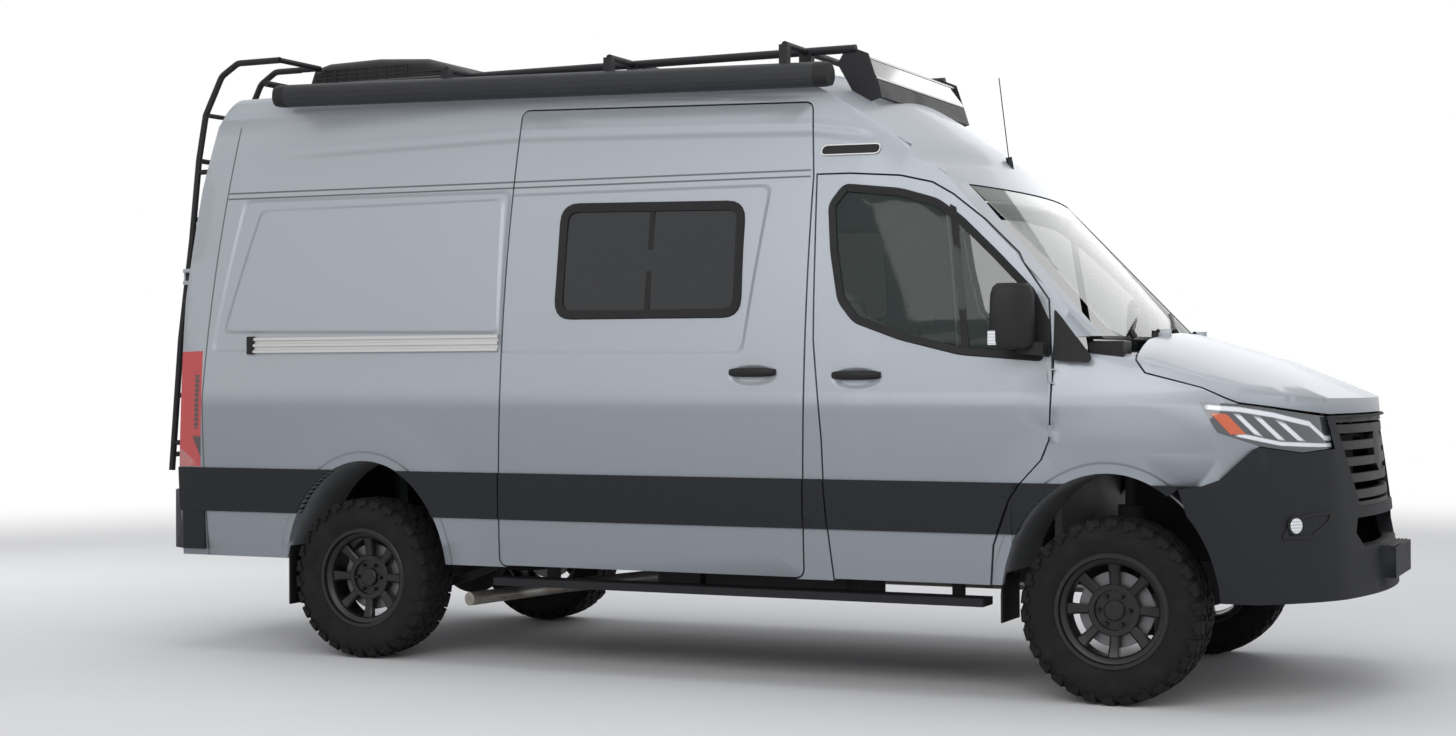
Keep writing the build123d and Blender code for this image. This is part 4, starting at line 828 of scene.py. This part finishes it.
for source_socket, target in (
    (entry.outputs["Count"], places.inputs["Count"]),
    (entry.outputs["Step"], travel.inputs[0]), (number.outputs[0], travel.inputs[1]),
    (entry.outputs["Start"], travel.inputs[2]), (travel.outputs[0], places.inputs["Position"]),
    (entry.outputs["Turn"], twist.inputs[0]), (number.outputs[0], twist.inputs["Scale"]),
    (entry.outputs["Geometry"], single.inputs[0]), (single.outputs[0], spread.inputs["Instance"]),
    (places.outputs[0], spread.inputs["Points"]), (twist.outputs[0], spread.inputs["Rotation"]),
    (spread.outputs[0], solid.inputs[0]), (solid.outputs[0], coated.inputs["Geometry"]),
    (coated.outputs[0], outlet.inputs[0]),
):
    repeats.links.new(source_socket, target)

tread = Finish("tyre_rubber", (0.012, 0.012, 0.013), roughness=0.8, specular=0.2)
dust = tread.noise(14, 5).ramp(0.4, 0.8)
tread.set("Base Color", tread.mix(dust * 0.6, (0.011, 0.011, 0.012), (0.024, 0.023, 0.022)))
tread.bump(tread.noise(220, 3) * 0.0008)
wheel_black = Finish("wheel_black", (0.008, 0.008, 0.009), roughness=0.36, specular=0.4)
wheel_black.set("Roughness", 0.3 + wheel_black.noise(30, 3) * 0.16)
brake_metal = Finish("brake_metal", (0.16, 0.16, 0.165), metallic=0.8, roughness=0.45)
brake_metal.set("Roughness", 0.3 + brake_metal.noise(60, 2) * 0.25)

# Tyre section: radius and distance from the middle plane, in millimetres
TYRE_WALL = [
    (224, 92), (236, 99), (246, 106), (262, 112), (282, 119), (304, 121), (326, 121), (346, 117), (362, 108),
    (371, 94), (375, 60), (375, 0),
]
TREAD_PITCHES = 30


def wheel_point(centre, side, radius, out, angle):
    """A place on a wheel from its radius, distance outwards from its middle plane, and angle."""
    return centre + Vector((radius * math.cos(angle), side * out, radius * math.sin(angle))) / 1000


def spun(centre, side, section, steps, closed=False):
    """A ring swept round a wheel's axis from radii and distances outwards."""
    angles = [math.tau * k / steps for k in range(steps)]
    rings = [[wheel_point(centre, side, radius, out, angle) for angle in angles] for radius, out in section]
    return loft(rings, "join" if closed else "open")


def lug(side, corners, base_radius, top_radius, lean=0):
    """One tread block from corners of angle in degrees and distance outwards."""
    mid_angle, mid_out = (sum(values) / len(corners) for values in zip(*corners))
    rings = []
    for radius, share in ((base_radius, 1.0), (top_radius, 0.93)):
        ring = []
        for angle, out in corners:
            across = mid_out + (out - mid_out) * share
            height = radius - lean * max(0, abs(across) - 92) / 20
            turned_to = math.radians(mid_angle + (angle - mid_angle) * share)
            ring.append(wheel_point(Vector(), side, height, across, turned_to))
        rings.append(ring)
    return loft(rings, "cap")


# Tread blocks of one pitch: corners as angle in degrees and distance outwards, on one side of the middle
CENTRE_BLOCK = [
    (0.3, 4), (2.6, 2), (5.0, 8), (7.4, 6), (8.9, 20), (6.6, 34), (3.2, 30), (1.4, 38), (-0.6, 22),
]
MIDDLE_BLOCK = [(4.6, 46), (7.2, 40), (10.4, 30), (12.2, 40), (11.4, 58), (8.4, 66), (5.2, 64)]
SHOULDER_BLOCK = [
    (0.0, 52), (3.2, 56), (4.4, 74), (8.0, 76), (9.4, 96), (9.0, 112), (1.2, 112), (0.6, 84), (-1.2, 70),
]
SIDE_LUG = [(0.6, 350), (4.0, 350), (4.6, 336), (7.8, 338), (8.6, 366), (8.2, 374), (0.8, 374), (0.2, 362)]
TREAD_FOOT, TREAD_LEAN = 372, 4
# How far the blocks on the far half of the tread are turned on, in degrees
HALF_SHIFT = 3
# Blocks with the radius of their tops
TREAD_BLOCKS = [(CENTRE_BLOCK, 383.4), (MIDDLE_BLOCK, 383.0), (SHOULDER_BLOCK, 381.5)]
# Rim, hub, nut and disc sections: radius and distance from the middle plane
RIM_LIP = [
    (230, 96), (237, 99), (240, 103), (236, 106), (220, 105), (217, 98), (215, 86), (198, 78), (192, 70),
    (190, 58), (200, 40), (203, -60), (228, -98), (236, -100), (236, -104), (224, -104),
]
HUB = [
    (0, 50), (38, 50), (43, 46), (43, 34), (82, 34), (84, 46), (105, 47), (109, 43), (109, 14), (60, 10),
    (0, 10),
]
HUB_BACK = [(70, 12), (70, -28), (60, -30), (30, -30)]
NUT = [(9, 36), (9, 52), (6, 56)]
NUT_CIRCLE, NUTS, SPOKES = 65, 6, 8
BRAKE_DISC = [(78, 4), (158, 4), (158, -20), (78, -20)]
# Spoke: radius, half width, front and back distances from the middle plane
SPOKE = [(98, 20, 44, 14), (112, 19, 46, 16), (150, 20, 52, 20), (190, 25, 62, 28), (204, 36, 68, 34)]
SPOKE_EDGE, SPOKE_DROP = 7, 5


def side_lug(side, half):
    """One lug on a tyre's side wall, which leans in towards the tread."""
    faces = []
    for depth in (2, -6):
        faces.append([
            wheel_point(
                Vector(), side, radius, half * (min(121, 121 - (radius - 330) * 0.33) - depth + 4),
                math.radians(angle),
            )
            for angle, radius in SIDE_LUG
        ])
    return loft(faces, "cap")


def spoke(side):
    """One spoke with bevelled front edges."""
    rings = []
    for radius, half, front, back in SPOKE:
        edge = half - SPOKE_EDGE
        section = [
            (-half, back), (-half, front - SPOKE_DROP), (-edge, front),
            (edge, front), (half, front - SPOKE_DROP), (half, back),
        ]
        rings.append([Vector((radius, side * out, across)) / 1000 for across, out in section])
    return loft(rings, "cap")


for end, body_end in (("front", wheelbase), ("rear", 0)):
    for side, name in SIDES:
        centre = Vector((axle_x + body_end, side * track_half, wheel_radius))
        body = f"wheel_{end}_{name}"
        wall = TYRE_WALL + [(radius, -out) for radius, out in reversed(TYRE_WALL[:-1])]
        shapes = [spun(centre, side, wall, 96)]
        turn = (0, math.tau / TREAD_PITCHES, 0)
        for half in (1, -1):
            shift = HALF_SHIFT if half < 0 else 0
            for corners, top in TREAD_BLOCKS:
                places_on = [(angle + shift, half * out) for angle, out in corners]
                tread_block = lug(side, places_on, TREAD_FOOT, top, TREAD_LEAN)
                shapes.append(repeated("tread_block", tread_block, TREAD_PITCHES, centre, turn=turn))
            shapes.append(repeated("side_lug", side_lug(side, half), TREAD_PITCHES, centre, turn=turn))
        obj = made(f"tyre_{end}_{name}_dressed", shapes, tread.material, body, "tyre", angle=math.radians(35))
        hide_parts(f"tyre_{end}_{name}")

        shapes = [spun(centre, side, [(radius, out * 0.99) for radius, out in RIM_LIP], 64)]
        shapes.append(repeated("spoke", spoke(side), SPOKES, centre, turn=(0, math.tau / SPOKES, 0)))
        shapes.append(spun(centre, side, HUB, 48))
        nut_centre = Vector((NUT_CIRCLE, 0, 0)) / 1000
        nut = loft([
            [wheel_point(nut_centre, side, radius, out, math.tau * k / 6) for k in range(6)]
            for radius, out in NUT
        ], "cap")
        shapes.append(repeated("wheel_nut", nut, NUTS, centre, turn=(0, math.tau / NUTS, 0)))
        shapes.append(spun(centre, side, HUB_BACK, 32))
        material = wheel_black.material
        obj = made(f"rim_{end}_{name}_dressed", shapes, material, body, "black_wheel", angle=math.radians(32))
        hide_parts(f"rim_{end}_{name}")
        disc = [spun(centre, side, BRAKE_DISC, 48, True)]
        made(f"brake_disc_{end}_{name}", disc, brake_metal.material, body, "underbody_steel")

# Seats: a padded cushion, back and headrest in dark woven cloth with a sewn edge, on a plain black pedestal
# that stands on the cab's floor.
seat_cloth = Finish("seat_cloth", (0.030, 0.031, 0.034), roughness=0.9, specular=0.2)
warp = (seat_cloth.y * 2600).sine() * (seat_cloth.z * 2600).sine()
fleck = seat_cloth.noise(90, 3)
seat_cloth.set("Base Color", seat_cloth.mix(fleck, (0.022, 0.023, 0.026), (0.045, 0.046, 0.050)))
seat_cloth.bump(warp * 0.0003 + seat_cloth.noise(24, 3) * 0.0015)
SEAT_Y, SEAT_HALF = 450, 244
CUSHION = [
    (2434, 912), (2440, 985), (2530, 1004), (2740, 1020), (2940, 1034), (2974, 1012), (2972, 948),
    (2890, 912),
]
SEAT_BACK = [
    (2412, 940), (2500, 1000), (2470, 1140), (2432, 1320), (2388, 1500), (2350, 1545), (2296, 1538),
    (2300, 1440),
]
HEADREST = [
    (2288, 1572), (2276, 1630), (2282, 1684), (2312, 1697), (2356, 1694), (2370, 1650), (2372, 1600),
    (2352, 1572),
]
# Pads: name, side outline, half width
PADS = [("cushion", CUSHION, SEAT_HALF), ("back", SEAT_BACK, SEAT_HALF - 6), ("headrest", HEADREST, 130)]
# A pad's crown across its width: share of the half width, share of the side outline
CROWN = [
    (-1.0, 0.62), (-0.97, 0.80), (-0.88, 0.93), (-0.84, 0.90), (-0.78, 0.95), (-0.4, 0.985), (0, 1.0),
    (0.4, 0.985), (0.78, 0.95), (0.84, 0.90), (0.88, 0.93), (0.97, 0.80), (1.0, 0.62),
]
POST_Y = 60
for side, name in SIDES:
    seat_y = side * SEAT_Y
    for pad_name, outline, half in PADS:
        edge = softened(outline, 30, 3)
        mid_x, mid_z = (sum(values) / len(edge) for values in zip(*edge))
        rings = []
        for across, share in CROWN:
            y = seat_y + across * half
            rings.append([spot(mid_x + (x - mid_x) * share, y, mid_z + (z - mid_z) * share) for x, z in edge])
        shapes = [loft(rings, "cap")]
        pad = made(f"seat_{pad_name}_{name}", shapes, seat_cloth.material, "body", "seat_fabric", smooth=1)
        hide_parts("seats")
    pedestal = [block((2450, seat_y - 210, 601), (2880, seat_y + 210, 915))]
    for y in (seat_y - POST_Y, seat_y + POST_Y):
        pedestal.append(block((2306, y - 6, 1530), (2320, y + 6, 1590)))
    base = trim(f"seat_base_{name}", pedestal, bevel=6)
    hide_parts("seats")

# Awning: a drawn aluminium cassette in grey powder coat, with a flat lid and two lips along its outer face,
# closed by cast end caps. It lies along the rack's edge, on the rack's clamps.
AWNING_Y, AWNING_BACK, AWNING_FRONT = -850, (-565, 2748), (2400, 2674)
AWNING_PROFILE = [
    (-58, 10), (-60, -22), (-44, -52), (-12, -60), (30, -54), (56, -30), (60, 8), (46, 36), (10, 54),
    (-30, 50), (-50, 34),
]
# A cap's rings: share of the awning's length, share of its outline
CAP_RINGS = [(0.0, 0.82), (0.001, 0.93), (0.008, 1.0), (0.022, 1.02)]
# Two lips along the cassette: distance out, distance up
LIPS = [(-1, 0), (0, 22)]
LIP_WIDTH, LIP_HEIGHT, LIP_INSET, LIP_DROP = 20, 5, 66, 24


def awning_ring(share, scale=1.0):
    """The cassette's outline at a share of its length."""
    x = AWNING_BACK[0] + share * (AWNING_FRONT[0] - AWNING_BACK[0])
    z = AWNING_BACK[1] + share * (AWNING_FRONT[1] - AWNING_BACK[1])
    return [spot(x, AWNING_Y + y * scale, z + up * scale) for y, up in softened(AWNING_PROFILE, 16, 3)]


shapes = [loft([awning_ring(share) for share in (0.022, 0.978)], "cap")]
lip_ends = [(AWNING_BACK[0] + LIP_INSET, AWNING_BACK[1]), (AWNING_FRONT[0] - LIP_INSET, AWNING_FRONT[1])]
for out, up in LIPS:
    low_y = AWNING_Y - 60 + out
    rings = []
    for x, z in lip_ends:
        low_z = z - LIP_DROP + up
        corners = ((low_y, low_z), (low_y, low_z + LIP_HEIGHT))
        corners += ((low_y + LIP_WIDTH, low_z + LIP_HEIGHT), (low_y + LIP_WIDTH, low_z))
        rings.append([spot(x, y, height) for y, height in corners])
    shapes.append(loft(rings, "cap"))
obj = made("awning_cassette", shapes, grey_coat, "body", "dark_plastic")
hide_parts("awning")
trim("awning_end_caps", [
    loft([awning_ring(share, scale) for share, scale in CAP_RINGS], "cap"),
    loft([awning_ring(1 - share, scale) for share, scale in CAP_RINGS], "cap"),
])

# Air-conditioner: a smooth black plastic shroud that falls forward, bolted to the roof, with a mesh guard and
# louvres in each flank.
COOLER_FOOT = 2782
# Shroud sections: distance ahead of the rear axle, top, half width
COOLER_RINGS = [
    (-783, 2846, 300), (-776, 2862, 322), (-722, 2966, 340), (-640, 2984, 346), (-330, 2990, 348),
    (-40, 2972, 346), (120, 2920, 338), (260, 2866, 318), (342, 2832, 270),
]
COOLER_CORNER = 34
rings = []
for x, high, half in COOLER_RINGS:
    edge, drop = half - COOLER_CORNER, high - COOLER_CORNER
    outline = [
        (-half, COOLER_FOOT), (-half, drop), (-edge, high), (edge, high), (half, drop), (half, COOLER_FOOT),
    ]
    rings.append([spot(x, y, z) for y, z in softened(outline, 26, 3)])
shroud = trim("cooler_shroud", [loft(rings, "cap")], angle=math.radians(40))
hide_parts("air_conditioner")
GUARD_BACK, GUARD_FRONT, GUARD_FOOT, GUARD_TOP = -700, -142, 2838, 2944
GUARD_COLUMNS, GUARD_ROWS, LOUVRES = 9, 5, 4
COLUMN_PITCH, ROW_PITCH, LOUVRE_PITCH = 62, 21, 18
guard = []
for side in (RIGHT, LEFT):
    guard_y, louvre_y = side * 349, side * 344
    for column in range(GUARD_COLUMNS + 1):
        x = GUARD_BACK + column * COLUMN_PITCH
        guard.append(block((x - 3, guard_y - 1, GUARD_FOOT), (x + 3, guard_y + 1, GUARD_TOP)))
    for row in range(GUARD_ROWS + 1):
        z = GUARD_FOOT + row * ROW_PITCH
        guard.append(block((GUARD_BACK, guard_y - 1, z - 3), (GUARD_FRONT, guard_y + 1, z + 3)))
    for row in range(LOUVRES):
        z = 2846 + row * LOUVRE_PITCH
        guard.append(block((-100, louvre_y - 4, z), (70, louvre_y + 4, z + 6)))
made("cooler_guard", guard, grey_coat, "body", "dark_plastic")

# Solar panel: dark cells under glass, with a thin aluminium edge at its top and its foot, set on the end plates
# at the front of the rack.
PANEL_TOP, PANEL_LOW, PANEL_HALF = (2468, 2779), (2520, 2678), 599
PANEL_SECTION = [
    (PANEL_TOP[0] - 22, PANEL_TOP[1] - 11), (PANEL_TOP[0] - 1, PANEL_TOP[1] - 1),
    (PANEL_LOW[0] - 1, PANEL_LOW[1] + 1), (PANEL_LOW[0] - 22, PANEL_LOW[1] - 11),
]
CELLS_PER_METRE = 6.25
cells = Finish("solar_cells", (0.010, 0.013, 0.022), roughness=0.12, coat=0.8)
count_across = cells.y * CELLS_PER_METRE
grid = abs(count_across.math("FRACT", count_across) - 0.5).ramp(0.47, 0.495)
cells.set("Base Color", cells.mix(grid, (0.010, 0.013, 0.022), (0.20, 0.21, 0.23)))
slab = loft([[spot(x, y, z) for x, z in PANEL_SECTION] for y in (-PANEL_HALF, PANEL_HALF)], "cap")
glass_sheet = made("solar_cells", [slab], cells.material, "body", "dark_plastic")
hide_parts("solar_panel")
edges = []
for share in (0.02, 0.98):
    x, z = (top + (foot - top) * share for top, foot in zip(PANEL_TOP, PANEL_LOW))
    edges.append(block((x - 8, -PANEL_HALF, z - 4), (x + 3, PANEL_HALF, z + 4)))
made("solar_frame", edges, rail_metal.material, "body", "underbody_steel")


# Ladder: steel tubes in black powder coat, the link from the near rail's end to the far rail and the low
# cross tube. They ride on the right back door with the ladder itself.
def bar(start, end, radius, steps=12):
    """A straight round bar between two places."""
    way = (end - start).normalized()
    across = way.cross(Vector((0, 0, 1)) if abs(way.z) < 0.9 else Vector((0, 1, 0))).normalized()
    over = way.cross(across)
    angles = [math.tau * k / steps for k in range(steps)]
    around = [(across * math.cos(angle) + over * math.sin(angle)) * radius / 1000 for angle in angles]
    return loft([[place + out for out in around] for place in (start, end)], "cap")


LINK_NEAR, LINK_FAR, FAR_RAIL_END = (-655, -720, 2950), (-655, -380, 2950), (-782, -380, 2950)
CROSS_NEAR, CROSS_FAR = (-1103, -740, 2694), (-1120, -390, 2700)
made("ladder_links", [
    bar(spot(*LINK_NEAR), spot(*LINK_FAR), 14),
    bar(spot(*FAR_RAIL_END), spot(*LINK_FAR), 14),
    bar(spot(*CROSS_NEAR), spot(*CROSS_FAR), 12),
], black_coat, "back_door_right", "dark_plastic")


# Fog lamps: a round clear lens in a moulded rim, inside a thin black frame that follows the front bumper's
# face. Each is placed by a look straight back at the bumper.
def on_bumper(y, z, proud=0):
    """The place on the front bumper's face straight ahead of a height and a distance across."""
    hit, normal, _, _ = bumper_tree.ray_cast(spot(6000, y, z), Vector((-1, 0, 0)))
    return hit + normal * proud / 1000


bumper_mesh = merged_copy("bumper_front")
bumper_tree = BVHTree.FromBMesh(bumper_mesh)
bumper_mesh.free()
FOG_Y, FOG_Z, FOG_RADIUS, FOG_RIM = 850, 747, 31, 11
FOG_FRAME = [(905, 694), (872, 762), (800, 792), (668, 800), (700, 752), (790, 694)]
fog_out, fog_in = softened(FOG_FRAME, 18, 3), softened(grown(FOG_FRAME, 12), 12, 3)
for side, name in SIDES:
    centre = on_bumper(side * FOG_Y, FOG_Z)
    facing = Vector((0.8, side * 0.6, 0))
    trim(
        f"fog_lamp_rim_{name}",
        [bar(centre - facing * 0.02, centre + facing * 0.006, FOG_RADIUS + FOG_RIM, 24)], bevel=2,
    )
    lens = bar(centre, centre + facing * 0.009, FOG_RADIUS, 24)
    made(f"fog_lamp_{name}", [lens], lamp_lens.material, "body", "lamp_clear", bevel=2)
    frame_rings = []
    for edge, proud in ((fog_out, -3), (fog_out, 5), (fog_in, 5), (fog_in, -3)):
        frame_rings.append([on_bumper(side * y, z, proud) for y, z in edge])
    trim(f"fog_frame_{name}", [loft(frame_rings, "join")])

# Closing plates: the painted filler between the front door and the front arch with its stretch of moulding,
# and the black block between the windscreen pillar's foot and the cowl.
FOOT = [(3175, 479), (3188, 644), (3251, 815), (3262, 815), (3262, 650), (3235, 565), (3217, 479)]
FOOT_MOULDING = [(3207, 691), (3251, 812), (3262, 812), (3262, 691)]
CORNER_X, CORNER_Y, CORNER_Z = (3566, 3716), (790, 930), (1400, 1490)
for side, name in SIDES:
    made(f"wing_foot_{name}", [plate(FOOT, side, -2, -30, 3)], paint.material, "body", "silver_paint")
    moulding = plate(FOOT_MOULDING, side, 7, -20, 3)
    made(f"wing_foot_moulding_{name}", [moulding], charcoal, "body", "dark_plastic")
    low_y, high_y = sorted(side * y for y in CORNER_Y)
    corner = block((CORNER_X[0], low_y, CORNER_Z[0]), (CORNER_X[1], high_y, CORNER_Z[1]))
    trim(f"cowl_corner_{name}", [corner], bevel=6)

# Wipers, antenna and the step's tread: two parked arms on round pivots below the windscreen, a thin whip on a
# foot at the roof's front edge, and ribs moulded in the front bumper's step.
# Wipers: the pivot's place and the blade's tip
WIPERS = [((3680, -640, 1526), (3560, -60, 1640)), ((3700, 60, 1540), (3560, 560, 1636))]
ARM_RADIUS, PIVOT_RADIUS = 7, 14
shapes = [bar(spot(*pivot), spot(*tip), ARM_RADIUS, 8) for pivot, tip in WIPERS]
for (x, y, z), _ in WIPERS:
    shapes.append(bar(spot(x + 10, y, z - 20), spot(x - 8, y, z + 10), PIVOT_RADIUS, 10))
trim("wipers", shapes)
trim("antenna", [
    bar(spot(2950, 0, 2300), spot(2940, 0, 2356), 15), bar(spot(2940, 0, 2350), spot(2894, 0, 2728), 2.5, 8),
])
RIBS, RIB_PITCH, RIB_WIDTH, RIB_HALF = 5, 15, 7, 222
ribs = []
for row in range(RIBS):
    x = 4608 + row * RIB_PITCH
    ribs.append(block((x, -RIB_HALF, 624), (x + RIB_WIDTH, RIB_HALF, 629)))
trim("step_tread", ribs)

low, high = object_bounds()
